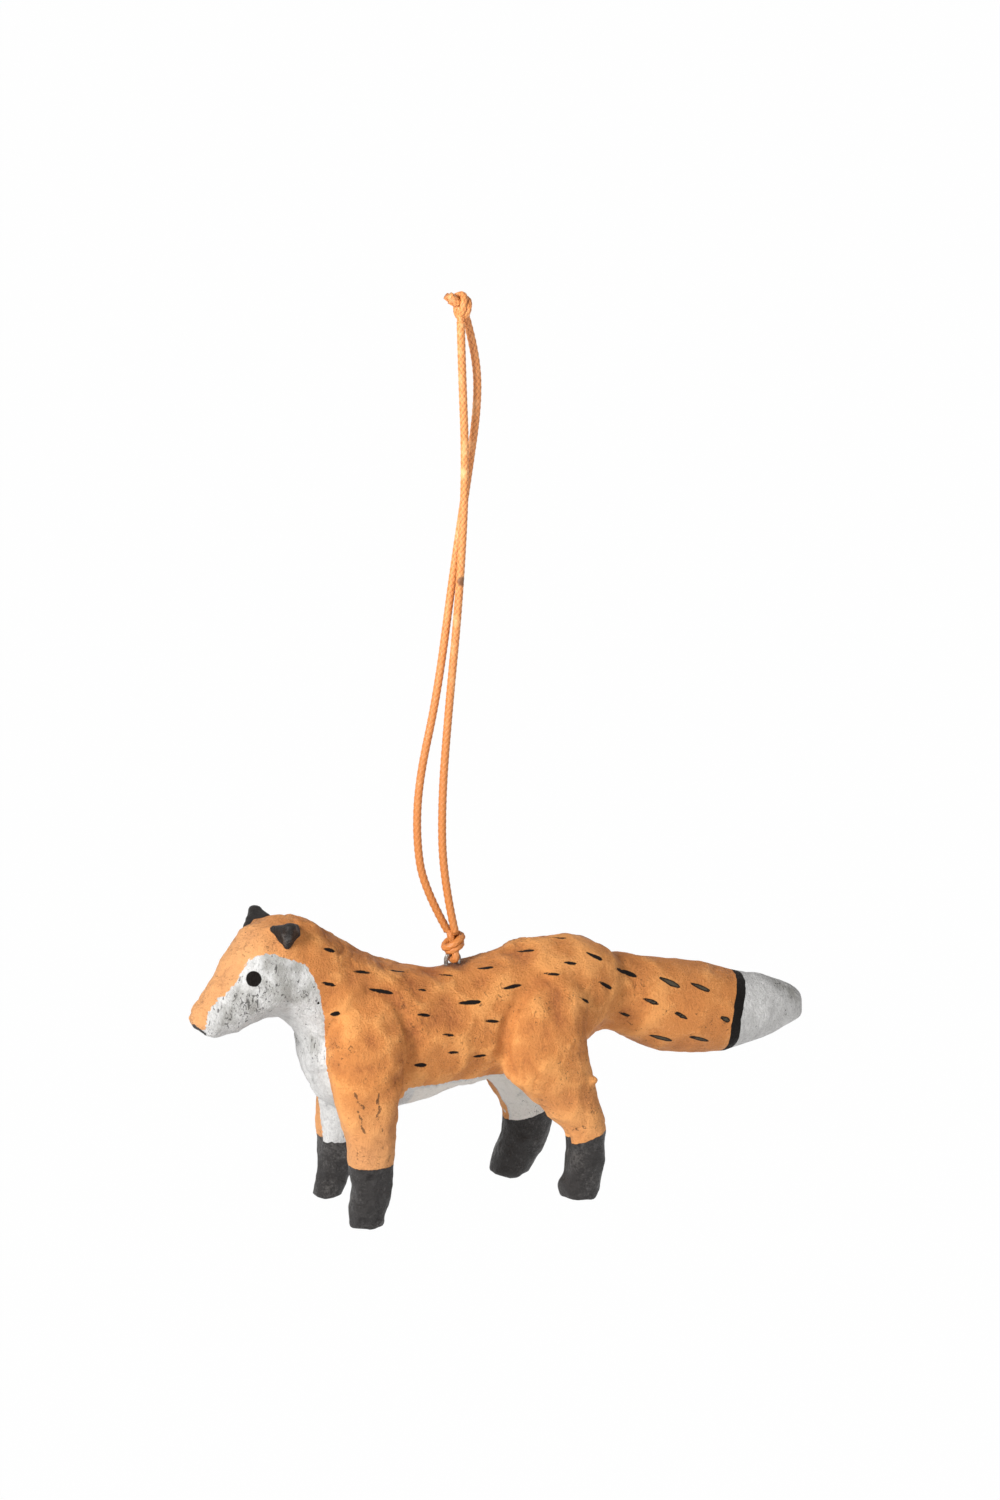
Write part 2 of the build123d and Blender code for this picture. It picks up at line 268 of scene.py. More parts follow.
HEAD = [
    (-29.0, 6.5, 5.0, 5.5),
    (-31.5, 5.7, 8.2, 7.8),
    (-35.6, 3.5, 9.9, 8.6),
    (-39.8, 0.8, 8.4, 7.9),
    (-44.4, -2.2, 6.0, 5.8),
    (-48.4, -4.5, 4.2, 4.3),
    (-50.5, -5.5, 3.3, 3.5),
    (-52.0, -6.3, 2.1, 2.3),
]
FRONT_LEG = [
    (-19.5, 6.6, -3.0, 5.0, 3.0),
    (-20.5, 9.0, -9.0, 7.5, 4.8),
    (-21.2, 9.9, -16.0, 7.3, 5.2),
    (-21.6, 10.5, -23.0, 6.0, 4.8),
    (-21.3, 10.9, -29.0, 5.0, 4.4),
    (-21.1, 11.0, -35.0, 4.4, 4.1),
    (-21.1, 11.0, -40.0, 3.8, 3.6),
    (-21.8, 11.0, -43.5, 3.3, 3.3),
    (-22.0, 11.0, FOOT_Z, 3.0, 3.0),
]
HIND_LEG = [
    (18.4, 6.0, -1.5, 5.2, 3.0),
    (16.9, 8.6, -7.0, 8.0, 4.8),
    (15.9, 9.6, -14.0, 8.7, 5.4),
    (16.9, 10.1, -21.0, 8.3, 5.1),
    (21.2, 10.6, -27.5, 5.5, 4.6),
    (23.8, 11.0, -33.5, 4.0, 4.0),
    (23.4, 11.0, -39.5, 4.1, 3.9),
    (22.8, 11.0, -43.0, 3.9, 3.6),
    (22.7, 11.0, FOOT_Z, 3.2, 3.0),
]
# Each leg: its stations and side, how far along the whole leg and then its foot is set, and its girth
STANCE = [
    (FRONT_LEG, -1, 0.0, 0.0, 1.0),
    (FRONT_LEG, 1, 3.6, -2.0, 0.92),
    (HIND_LEG, -1, -0.3, 0.0, 1.0),
    (HIND_LEG, 1, -0.3, -3.9, 1.17),
]
LEG_FULLNESS = 2.4
FOOT_BEND = 4
RING_POINTS = 32
PULP_VOXEL = 0.415
PULP_SOFTENING = 4
SOFTENING_SHARE = 0.5
# Unevenness, in millimetres: soft lumps of three sizes, finger marks, and folds that lie in patches
LUMPS = [(8.0, 0.30), (3.2, 0.22), (1.3, 0.11)]
LUMP_SHIFT = Vector((17.3, 5.1, 9.7))
DENT_SIZE, DENT_DEPTH, DENT_WARP = 6.0, 0.85, 1.6
DENT_RIM, DENT_LEVEL = 0.8, 0.25
CREASE_SIZE, CREASE_DEPTH, CREASE_WARP, CREASE_WIDTH = 3.4, 0.24, 0.4, 0.16
PATCH_SIZE, PATCH_SHIFT, PATCH_GAIN = 11.0, Vector((3.7, 1.3, 8.1)), 2.5
# Along the tail the unevenness fades and the coat is a little thicker
TAIL_SMOOTHING = (32.0, 46.0), (1.0, 0.5)
TAIL_SWELL = (34.0, 42.0, 66.0, 72.0), (0.0, 0.1, 0.1, 0.0)
# Where along the fox, and below which height, the tail's root is rubbed smooth into the rump
RUB_ALONG = (28.0, 33.0, 39.0, 44.0), (0.0, 1.0, 1.0, 0.0)
RUB_DOWN = (-7.0, -3.0), (1.0, 0.0)
RUB_STROKES = 60


def eased(stations, steps=4):
    """The stations with smooth ones set between them."""
    ends = [stations[0]] + stations + [stations[-1]]
    rows = []
    for before, here, after, beyond in zip(ends, ends[1:], ends[2:], ends[3:]):
        for step in range(steps):
            t = step / steps
            rows.append(tuple(
                q + 0.5 * t * (r - p + t * (2 * p - 5 * q + 4 * r - s + t * (3 * (q - r) + s - p)))
                for p, q, r, s in zip(before, here, after, beyond)
            ))
    return rows + [stations[-1]]


def oval(pulp, middle, first, second, along, fullness=2.0):
    """Edges of one oval, set round its middle by its two half axes. More fullness squares it up."""
    made = bmesh.ops.create_circle(pulp, segments=RING_POINTS, radius=1.0)
    for vertex in made["verts"]:
        vertex.co /= (abs(vertex.co.x) ** fullness + abs(vertex.co.y) ** fullness) ** (1 / fullness)
    matrix = Matrix((first, second, along)).transposed().to_4x4()
    matrix.translation = middle
    bmesh.ops.transform(pulp, matrix=matrix, verts=made["verts"])
    return list(dict.fromkeys(edge for vertex in made["verts"] for edge in vertex.link_edges))


def press_on(pulp, rings):
    """Bridge ovals to one closed form."""
    for first, second in zip(rings, rings[1:]):
        bmesh.ops.bridge_loops(pulp, edges=first + second)
    for end in (rings[0], rings[-1]):
        bmesh.ops.holes_fill(pulp, edges=end, sides=0)


def press_barrel(pulp, stations, slope=(1.0, 0.0)):
    """Form along the middle plane of the fox."""
    along = Vector((slope[0], 0.0, slope[1])).normalized()
    rise = Vector((-along.z, 0.0, along.x))
    rings = []
    for x, z, half_height, half_width in eased(stations):
        middle = Vector((x, 0.0, z))
        rings.append(oval(pulp, middle, Vector((0, half_width, 0)), rise * half_height, along))
    press_on(pulp, rings)


def press_leg(pulp, stations, side, shift, foot_shift, girth):
    """Form down one leg."""
    top = stations[0][2]
    rings = []
    for x, spread, z, half_length, half_width in eased(stations):
        step = shift + foot_shift * ((z - top) / (FOOT_Z - top)) ** FOOT_BEND
        middle = Vector((x + step, side * spread, z))
        length_axis, width_axis = Vector((half_length * girth, 0, 0)), Vector((0, half_width * girth, 0))
        rings.append(oval(pulp, middle, length_axis, width_axis, Vector((0, 0, 1)), LEG_FULLNESS))
    press_on(pulp, rings)


def add_piece(name, mesh):
    """New object for a finished mesh."""
    piece = bpy.data.objects.new(name, mesh)
    scene.collection.objects.link(piece)
    return piece


def from_bmesh(name, shape):
    """Mesh of a finished bmesh, with its faces pointing outwards and shaded smooth."""
    bmesh.ops.recalc_face_normals(shape, faces=shape.faces)
    mesh = bpy.data.meshes.new(name)
    shape.to_mesh(mesh)
    shape.free()
    mesh.shade_smooth()
    return mesh


def settled(piece, name):
    """The piece's mesh with its modifiers worked in. The piece itself goes."""
    ready = piece.evaluated_get(bpy.context.evaluated_depsgraph_get())
    mesh = bpy.data.meshes.new_from_object(ready)
    mesh.name = name
    bpy.data.objects.remove(piece)
    return mesh


def softened(piece, strokes):
    """Smooth a piece by a number of strokes, and give the modifier back."""
    rub = piece.modifiers.new("rub", "SMOOTH")
    rub.factor = SOFTENING_SHARE
    rub.iterations = strokes
    return rub


def coated(name, shape, voxel, strokes):
    """Mesh of one even coat over the closed forms of a bmesh, smoothed by a number of strokes."""
    forms = add_piece("forms", from_bmesh("forms", shape))
    coat = forms.modifiers.new("coat", "REMESH")
    coat.mode = "VOXEL"
    coat.voxel_size = voxel
    softened(forms, strokes)
    return settled(forms, name)


pulp = bmesh.new()
press_barrel(pulp, TORSO)
press_barrel(pulp, TAIL)
press_barrel(pulp, NECK, NECK_SLOPE)
press_barrel(pulp, HEAD, HEAD_SLOPE)
for leg in STANCE:
    press_leg(pulp, *leg)
moulded = add_piece("moulded", coated("moulded", pulp, PULP_VOXEL, PULP_SOFTENING))
tail_root = moulded.vertex_groups.new(name="tail_root")
for vertex in moulded.data.vertices:
    share = np.interp(vertex.co.x, *RUB_ALONG) * np.interp(vertex.co.z, *RUB_DOWN)
    if share > 0:
        tail_root.add([vertex.index], share, "REPLACE")
softened(moulded, RUB_STROKES).vertex_group = tail_root.name
skin_mesh = settled(moulded, "fox_skin")


def corners(mesh):
    """All the mesh's points as rows of numbers."""
    rows = np.zeros(len(mesh.vertices) * 3)
    mesh.vertices.foreach_get("co", rows)
    return rows.reshape(-1, 3)


def facing(mesh):
    """The outward direction at each of the mesh's points."""
    rows = np.zeros(len(mesh.vertices) * 3)
    mesh.vertices.foreach_get("normal", rows)
    return rows.reshape(-1, 3)


def lumps(points, sizes):
    """Hand-moulded unevenness at each point: the sum of soft bumps of each size and depth."""
    rows = np.zeros(len(points))
    for number, (size, depth) in enumerate(sizes):
        shift = LUMP_SHIFT * number
        rows += [depth * noise.noise(Vector(point) / size + shift) for point in points]
    return rows


def dents(points):
    """Finger marks: shallow hollows that meet in soft ridges."""
    rows = np.zeros(len(points))
    for number, point in enumerate(points):
        where = Vector(point)
        where += noise.noise_vector(where / DENT_SIZE) * DENT_WARP
        nearest = noise.voronoi(where / DENT_SIZE)[0][0]
        rows[number] = DENT_DEPTH * (min(nearest, DENT_RIM) ** 2 - DENT_LEVEL)
    return rows


def creases(points):
    """Fine folds where the pulp was pushed together, in patches."""
    rows = np.zeros(len(points))
    for number, point in enumerate(points):
        where = Vector(point)
        near = where / CREASE_SIZE
        fold = abs(noise.noise(near + noise.noise_vector(near) * CREASE_WARP))
        patch = max(noise.noise(where / PATCH_SIZE + PATCH_SHIFT), 0.0)
        rows[number] = -CREASE_DEPTH * min(patch * PATCH_GAIN, 1.0) * max(1 - fold / CREASE_WIDTH, 0.0)
    return rows


# Steps along a line of sight that misses the fox, in millimetres before and behind its back
SIGHT_STEPS = range(-50, 50, 2)


def sighting_tree(mesh):
    """Search tree of a mesh's faces, for lines of sight and nearest points."""
    return BVHTree.FromPolygons(
        [Vector(point) for point in corners(mesh)], [tuple(face.vertices) for face in mesh.polygons]
    )


def seen_at(across, down):
    """Point of the skin that shows at a point of the picture, or the nearest one just outside it."""
    eye, ray = lens_at - BACK_AT, sight_line(across, down)
    found = skin_tree.ray_cast(eye, ray)[0]
    if found:
        return found
    passing = [skin_tree.find_nearest(eye + ray * (eye.dot(view_back) + step)) for step in SIGHT_STEPS]
    return min(passing, key=lambda near: near[3])[0]


def mirrored(point):
    """The same place on the other side."""
    return Vector((point.x, -point.y, point.z))


def to_line(points, start, end):
    """Distance of points from a straight line, and how far along it each lies, from 0 to 1."""
    start, end = np.array(start), np.array(end)
    run = end - start
    share = np.clip((points - start) @ run / (run @ run), 0, 1)
    return np.linalg.norm(points - start - share[:, None] * run, axis=1), share


def to_run(points, run):
    """Distance of points from a run of straight lines."""
    return np.min([to_line(points, start, end)[0] for start, end in zip(run, run[1:])], axis=0)


def to_point(points, middle):
    """Distance of points from one point."""
    return np.linalg.norm(points - np.array(middle), axis=1)


def fading(away, reach):
    """Share that falls softly from 1 at no distance."""
    return np.exp(-((away / reach) ** 2))


def mound(points, middle, crown, reach):
    """Share from 1 on a mound's flat top down to 0 round it. The crown says how broad the top is."""
    return np.clip(crown - to_point(points, middle) / reach, 0, 1)


# The pulp is squeezed up in a low lip round each ear and in mounds round the wire eye and at the tail's
# root, and one torn scrap stands off a hind leg. A mound has its height, its crown and its reach.
EAR_CORNERS_AT = [(270, 929.5), (286.5, 949.5), (299, 937), (298.5, 926.5)]
EAR_INNER = Vector((-34.2, -5.4, 11.5))
LIP_HEIGHT, LIP_REACH = 0.45, 1.3
EYE_FOOT, EYE_MOUND = (1.1, 0.0, -0.3), (0.45, 1.4, 4.5)
TAIL_ROOT, TAIL_ROOT_MOUND = (35.8, 0.0, -0.8), (0.2, 1.3, 4.5)
SCRAP_AT, SCRAP_MOUND = (591, 1081), (0.8, 1.6, 1.1 / 1.6)
# A thumb drawn along these lines of the picture sets shoulder and thigh off the flank, and the paint in each
# groove is darkened as painted shade
MUSCLE_EDGES = [
    [(370, 990), (386, 992), (398, 1002), (407, 1018), (413, 1036), (414, 1050), (408, 1066), (399, 1081)],
    [(545, 978), (532, 986), (520, 1001), (510, 1018), (505, 1036), (505, 1054), (511, 1071)],
]
MUSCLE_DEPTH, MUSCLE_REACH, MUSCLE_SHADE = 1.0, 1.5, 0.36
# The groove's share on level pulp, how far it follows the lumps, and its least and greatest share
GROOVE_LEVEL, GROOVE_FOLLOW, GROOVE_LIMITS = 0.7, 1.6, (0.15, 1.3)
# The near legs alone are drawn in along their front edges: the line, in millimetres, depth and reach
LEANS = [
    ([(-26.2, -9.3, -24.0), (-25.9, -9.4, -29.0), (-25.4, -9.4, -34.0), (-24.9, -9.5, -37.0)], 0.5, 3.0),
    ([(19.3, -9.5, -34.5), (19.5, -9.5, -37.0), (19.3, -9.5, -40.0)], 1.7, 2.6),
]
# Thumb presses on head, throat, chest, legs, rump and tail: place in the picture, depth and reach. A
# press of less than nothing is a pat of pulp put on.
PRESSES = [
    (269, 1022, 1.4, 3.6), (199, 1034, 0.6, 2.2), (308, 1090, 1.5, 3.2), (394, 1165, 0.5, 5.0),
    (494, 1134, 0.8, 3.0), (804, 1002, 0.5, 4.0), (286, 919, -0.8, 4.5), (603, 940, 0.6, 3.0),
    (550, 1131, -0.5, 3.0), (515, 1172, -0.8, 2.5),
]
SEED = 5

noise.seed_set(SEED)
skin_tree = sighting_tree(skin_mesh)
ear_foot = [seen_at(*corner) for corner in EAR_CORNERS_AT] + [skin_tree.find_nearest(EAR_INNER)[0]]
scrap = seen_at(*SCRAP_AT)
flesh = corners(skin_mesh)
height_and_shade = lumps(flesh, LUMPS) + dents(flesh) + creases(flesh)
height_and_shade *= np.interp(flesh[:, 0], *TAIL_SMOOTHING)
swell = height_and_shade + np.interp(flesh[:, 0], *TAIL_SWELL)
for foot in (ear_foot, [mirrored(point) for point in ear_foot]):
    swell += LIP_HEIGHT * np.clip(1 - to_run(flesh, foot) / LIP_REACH, 0, 1)
mounds = [(scrap, SCRAP_MOUND), (EYE_FOOT, EYE_MOUND), (TAIL_ROOT, TAIL_ROOT_MOUND)]
for middle, (height, crown, reach) in mounds:
    swell += height * mound(flesh, middle, crown, reach)
for across, down, depth, reach in PRESSES:
    near = seen_at(across, down)
    for point in (near, mirrored(near)):
        swell -= depth * fading(to_point(flesh, point), reach)
for line, depth, reach in LEANS:
    swell -= depth * fading(to_run(flesh, line), reach)
for edge in MUSCLE_EDGES:
    line = [seen_at(*where) for where in edge]
    for run in (line, [mirrored(point) for point in line]):
        groove = fading(to_run(flesh, run), MUSCLE_REACH)
        groove *= np.clip(GROOVE_LEVEL + GROOVE_FOLLOW * height_and_shade, *GROOVE_LIMITS)
        swell -= MUSCLE_DEPTH * groove
        height_and_shade -= MUSCLE_SHADE * groove
flesh += facing(skin_mesh) * swell[:, None]
skin_mesh.vertices.foreach_set("co", flesh.ravel())
skin_mesh.update()

# Paint: orange over all, then white on face, chest, belly and inner legs, then black socks, eyes,
# nose, tail band and fur strokes, each brushed on by hand. A point of the picture gives each place,
# and the far side repeats the near one, a little unlike it.
WHITE_BORDER = [
    (204, 1030), (208, 1012), (218, 998), (224, 996), (234, 985), (240, 974), (248, 961), (254.5, 956.5),
    (266, 954), (274, 954), (285, 958), (291, 960), (305.5, 964.5), (310, 971), (315, 982), (320, 991.6),
    (322, 1006), (324.7, 1020), (325.5, 1036),
]
# From the border's end the outline goes down and back in two steps, then forward under the feet, and
# up in front of the nose to a little below the border's start
CHEST_STEP, CHEST_SLANT, CHIN_DROP = (4.0, -4.0), 5.5, 2.0
FACE_FRONT_X, FACE_LOW_Z = -70.0, FOOT_Z - 9.0
BELLY_BORDER = [(394, 1097), (432, 1085), (458, 1080), (475, 1078)]
# Where the belly's white ends behind, and where its lighter white, painted bounce light from below, starts
BELLY_END_X, LIT_WHITE_START_X = 26.0, -11.5
# Stands for no limit, and for a distance too great to matter
FAR_OFF = 40.0
# How far from the middle plane the white may reach where a leg stands: heights, and the reach at each
BELLY_EASE = (-30.0, -25.0), (FAR_OFF, 7.6)
# White starts this share of a leg's half width inward from its middle, on the near and the far legs
NEAR_INNER_SHARE, FAR_INNER_SHARE = 0.85, 0.3
FAR_LEG_TOP, NEAR_LEG_RISE = -28.0, 1.0
LEG_MARGIN, LEG_GIRTH = 2.0, 1.15
FRONT_SOCK_Z, HIND_SOCK_Z, HIND_SOCK_RISE, HIND_SOCK_HALF = -33.6, -33.5, 0.31, 9.0
FAR_SOCK_TEARS, FAR_SOCK_DROP = [(0.7, 0.4)], 0.8
EYE_AT, EYE_RADIUS = (253.5, 979), 1.5
NOSE_AT, NOSE_SIZE = Vector((-51.7, 0.0, -7.0)), (2.1, 2.6, 1.2)
BAND_LEFT = [(733, 971), (736.6, 986), (734, 1006), (731, 1026), (727, 1046)]
BAND_RIGHT = [(742, 973.5), (745.5, 986), (744, 1003), (741, 1019), (737, 1042)]
# Each stroke: place in the picture, length, tilt in degrees below level, half width
STROKES = [
    (329, 950, 11, 14, 2.2), (361, 972, 17, 5, 1.6), (396, 971, 16, 6, 1.7), (328, 984, 14, 12, 1.9),
    (380, 991, 24, 10, 2.2), (335, 1014, 10, -10, 2.6), (422, 990, 9, 5, 1.6), (445, 975, 15, 5, 1.5),
    (485, 968, 16, -5, 2.0), (525, 951, 18, -5, 1.7), (559, 938, 15, 2, 1.5), (570, 963, 12, 5, 1.8),
    (594, 956, 17, 24, 2.4), (511, 987, 19, -12, 2.0), (551, 974, 18, 5, 1.6), (605, 985, 15, 28, 2.2),
    (469.5, 1002.5, 21, -4, 2.6), (423, 1015, 13, 6, 1.8), (490, 1021, 17, 4, 1.6), (448, 1035, 11, 4, 1.6),
    (453, 1052.5, 13, 3, 1.7), (479, 1056, 13, -5, 2.0), (420, 1065, 12, 0, 2.4), (585, 1000.5, 10, 28, 1.8),
    (625, 972, 23, 20, 2.9), (669, 982, 22, 25, 3.2), (700, 987, 20, 22, 2.8), (650, 1001, 16, 20, 2.4),
    (624, 1014, 13, 20, 1.8), (680, 1015, 15, 28, 2.2), (725, 1019, 10, 25, 2.8),
    (659.5, 1037.6, 23, 14, 2.8), (697.6, 1038.5, 20, 14, 2.6),
]
STROKE_FAT_END, STROKE_POINT = 0.6, 1.5
STROKE_STEPS = (-0.58, -0.29, 0.0, 0.29, 0.58)
# Small black specks, each a place and its half width
SPECKS = [(318.5, 1003, 0.32), (284, 998, 0.18), (271, 1000, 0.16), (306, 1024, 0.2), (296, 972, 0.2)]
# Grey soil rubbed into the white of cheek, neck and tail tip, each a place and its reach
SOIL = [
    (250, 1001, 3.6), (266, 992, 4.0), (284, 990, 4.2), (300, 992, 3.4), (277, 963, 2.8), (298, 968, 2.2),
    (230, 1014, 2.6), (314, 1046, 2.4), (778, 983, 2.2), (792, 991, 2.4),
]
# Cracks in the pulp: on the near front leg, and pits above the hind sock
CRACKS = [
    [(379, 1094), (377, 1103), (380, 1109), (377, 1117), (381, 1125), (382, 1132)],
    [(355, 1093), (358, 1101), (362, 1106), (365, 1109)],
    [(358, 1112), (362, 1120), (361, 1127), (365, 1133)],
    [(577, 1129), (578, 1130)],
    [(583, 1126), (585, 1128)],
]
FAR_STROKE_SHIFT, FAR_STROKE_TURN, FAR_STROKE_SCALE = 1.6, 9.0, (0.8, 1.2)
WORN_STROKES_X = 33.0
# Paler orange, part pale paint and part painted highlight: where it starts and how far on it is full, and
# its share on front and hind legs
MUZZLE_PALE, LEG_PALE, LEG_PALE_SHARES = (-34.0, 9.0), (-18.0, 14.0), (0.75, 0.35)
EYE_HOLLOW = (1.6, 2.4)

skin_tree = sighting_tree(skin_mesh)


def inside(points, outline):
    """Which points, as x and z, lie in a closed outline."""
    odd = np.zeros(len(points), bool)
    for (x0, z0), (x1, z1) in zip(outline, outline[1:] + outline[:1]):
        between = (points[:, 1] < z0) != (points[:, 1] < z1)
        run = (points[:, 1] - z0) * (x1 - x0) / (z1 - z0 + 1e-9) + x0
        odd ^= between & (points[:, 0] < run)
    return odd


side_view = flesh[:, (0, 2)]
spread = np.abs(flesh[:, 1])

# Face and chest: in front of the border that runs from the nose under the ear and down the neck
border = [(point.x, point.z) for point in (seen_at(*where) for where in WHITE_BORDER)]
last_x, last_z = border[-1]
face = border + [
    (last_x + CHEST_STEP[0], last_z + CHEST_STEP[1]),
    (last_x + CHEST_SLANT, FACE_LOW_Z),
    (FACE_FRONT_X, FACE_LOW_Z),
    (FACE_FRONT_X, border[0][1] - CHIN_DROP),
]
edge_distance = to_run(side_view, border)
face_paint = np.where(inside(side_view, face), edge_distance, -edge_distance)

# Belly and inner legs: under the flank's lower edge, and on the inner faces only where a leg stands
flank = [seen_at(*where) for where in BELLY_BORDER]
flank_z = np.interp(side_view[:, 0], [p.x for p in flank], [p.z for p in flank])
inner_limit = np.full(len(flesh), FAR_OFF)
leg_limit = np.full(len(flesh), FAR_OFF)
belly_ease = np.interp(flesh[:, 2], *BELLY_EASE)
for stations, side, shift, foot_shift, girth in STANCE:
    rows = np.array(stations)[::-1]
    middle = np.interp(flesh[:, 2], rows[:, 2], rows[:, 0]) + shift
    reach = np.interp(flesh[:, 2], rows[:, 2], rows[:, 3])
    half = np.interp(flesh[:, 2], rows[:, 2], rows[:, 4])
    away = np.interp(flesh[:, 2], rows[:, 2], rows[:, 1])
    at_leg = (np.abs(side_view[:, 0] - middle) < reach + LEG_MARGIN) & (flesh[:, 1] * side > 0)
    inner_edge = away - (FAR_INNER_SHARE if side > 0 else NEAR_INNER_SHARE) * half
    inner_limit = np.where(at_leg, np.minimum(inner_edge, belly_ease), inner_limit)
    reach_out = np.hypot((side_view[:, 0] - middle) / (reach * girth), (spread - away) / (half * girth))
    leg_top = last_z + NEAR_LEG_RISE if side < 0 else FAR_LEG_TOP
    on_leg = at_leg & (reach_out < LEG_GIRTH) & (flesh[:, 2] < leg_top)
    leg_limit = np.where(on_leg, inner_edge, leg_limit)
face_paint = np.minimum(face_paint, leg_limit - spread)
under_paint = np.minimum(flank_z - flesh[:, 2], inner_limit - spread)
under_paint = np.minimum(under_paint, BELLY_END_X - side_view[:, 0])
# Behind the belly's middle the white is lighter and warmer: painted bounce light from below.
lit_white_paint = np.minimum(under_paint, side_view[:, 0] - LIT_WHITE_START_X)
white_paint = np.maximum(face_paint, under_paint)

# Tail: a black band, and the white tip behind it
left_edge = sorted((p.z, p.x) for p in (seen_at(*where) for where in BAND_LEFT))
right_edge = sorted((p.z, p.x) for p in (seen_at(*where) for where in BAND_RIGHT))
band_left = np.interp(flesh[:, 2], [z for z, x in left_edge], [x for z, x in left_edge])
band_right = np.interp(flesh[:, 2], [z for z, x in right_edge], [x for z, x in right_edge])
band_paint = np.minimum(flesh[:, 0] - band_left, band_right - flesh[:, 0])
white_paint = np.maximum(white_paint, flesh[:, 0] - (band_left + band_right) / 2)

# Socks, eyes and nose
along_sock = np.clip(flesh[:, 0] - HIND_LEG[-2][0], -HIND_SOCK_HALF, HIND_SOCK_HALF)
hind_top = HIND_SOCK_Z + HIND_SOCK_RISE * along_sock
sock_top = np.where(flesh[:, 0] > 0, hind_top, FRONT_SOCK_Z)
far_front = (flesh[:, 0] < 0) & (flesh[:, 1] > 0) & (flesh[:, 2] < FAR_LEG_TOP)
sock_top[far_front] += lumps(flesh[far_front], FAR_SOCK_TEARS)
sock_top[far_front] -= FAR_SOCK_DROP * (white_paint[far_front] > 0)
black_paint = sock_top - flesh[:, 2]
near_eye = seen_at(*EYE_AT)
nose_reach = np.linalg.norm((flesh - np.array(NOSE_AT)) / np.array(NOSE_SIZE), axis=1)
black_paint = np.maximum(black_paint, (1.0 - nose_reach) * min(NOSE_SIZE))


def brush(run, half_width):
    """Signed distance to one lens-shaped stroke along a run of points, fattest past its middle."""
    stroke = np.full(len(flesh), -FAR_OFF)
    for number, (start, end) in enumerate(zip(run, run[1:])):
        away, share = to_line(flesh, start, end)
        share = (number + share) / (len(run) - 1)
        early, late = share / STROKE_FAT_END, (1 - share) / (1 - STROKE_FAT_END)
        width = half_width * (early**STROKE_FAT_END * late ** (1 - STROKE_FAT_END)) ** STROKE_POINT
        stroke = np.maximum(stroke, width - away)
    return stroke


stroke_paint = band_paint.copy()
worn_stroke = np.full(len(flesh), -FAR_OFF)
random.seed(SEED)
for across, down, length, tilt, half_width in STROKES:
    step_across, step_down = length * cos(radians(tilt)), length * sin(radians(tilt))
    run = [seen_at(across + step_across * share, down + step_down * share) for share in STROKE_STEPS]
    half_width = half_width / FOCAL_PIXELS * VIEW_DISTANCE
    turn = Matrix.Rotation(radians(random.uniform(-FAR_STROKE_TURN, FAR_STROKE_TURN)), 3, "Y")
    turn *= random.uniform(*FAR_STROKE_SCALE)
    middle = mirrored(run[len(run) // 2])
    shift = Vector((random.uniform(-1, 1), 0, random.uniform(-1, 1))) * FAR_STROKE_SHIFT
    far_run = [middle + shift + turn @ (mirrored(point) - middle) for point in run]
    far_run = [skin_tree.find_nearest(point)[0] for point in far_run]
    for stroke in (brush(run, half_width), brush(far_run, half_width)):
        stroke_paint = np.maximum(stroke_paint, stroke)
        if run[0].x > WORN_STROKES_X:
            worn_stroke = np.maximum(worn_stroke, stroke)
for eye in (near_eye, mirrored(near_eye)):
    stroke_paint = np.maximum(stroke_paint, EYE_RADIUS - to_point(flesh, eye))
for across, down, half_width in SPECKS:
    stroke_paint = np.maximum(stroke_paint, half_width - to_point(flesh, seen_at(across, down)))
soil = np.zeros(len(flesh))
for across, down, reach in SOIL:
    near = seen_at(across, down)
    for point in (near, mirrored(near)):
        soil = np.maximum(soil, fading(to_point(flesh, point), reach))
crack_reach = np.full(len(flesh), FAR_OFF)
for crack in CRACKS:
    crack_reach = np.minimum(crack_reach, to_run(flesh, [seen_at(*where) for where in crack]))

# Paler orange along the muzzle and down the legs, most on the front ones, part pale paint and part painted
# highlight, and the brown hollow round the wire eye
muzzle_pale_and_highlight = np.clip((MUZZLE_PALE[0] - flesh[:, 0]) / MUZZLE_PALE[1], 0, 1)
leg_pale_and_highlight = np.clip((LEG_PALE[0] - flesh[:, 2]) / LEG_PALE[1], 0, 1)
leg_pale_and_highlight *= np.where(flesh[:, 0] < 0, *LEG_PALE_SHARES)
pale_paint_and_highlight = np.maximum(muzzle_pale_and_highlight, leg_pale_and_highlight)
eye_hollow = mound(flesh, EYE_FOOT, *EYE_HOLLOW)
for name, rows in (
    ("white_paint", white_paint),
    ("black_paint", black_paint),
    ("stroke_paint", stroke_paint),
    ("worn_stroke", worn_stroke),
    ("lit_white_paint", lit_white_paint),
    ("crack_reach", crack_reach),
    ("pale_paint_and_highlight", pale_paint_and_highlight),
    ("soil", soil),
    ("eye_hollow", eye_hollow),
    ("height_and_shade", height_and_shade),
):
    layer = skin_mesh.attributes.new(name, "FLOAT", "POINT")
    layer.data.foreach_set("value", rows.astype(np.float32))
skin_mesh.transform(Matrix.Translation(BACK_AT * MM) @ Matrix.Scale(MM, 4))
skin_mesh.shade_smooth()

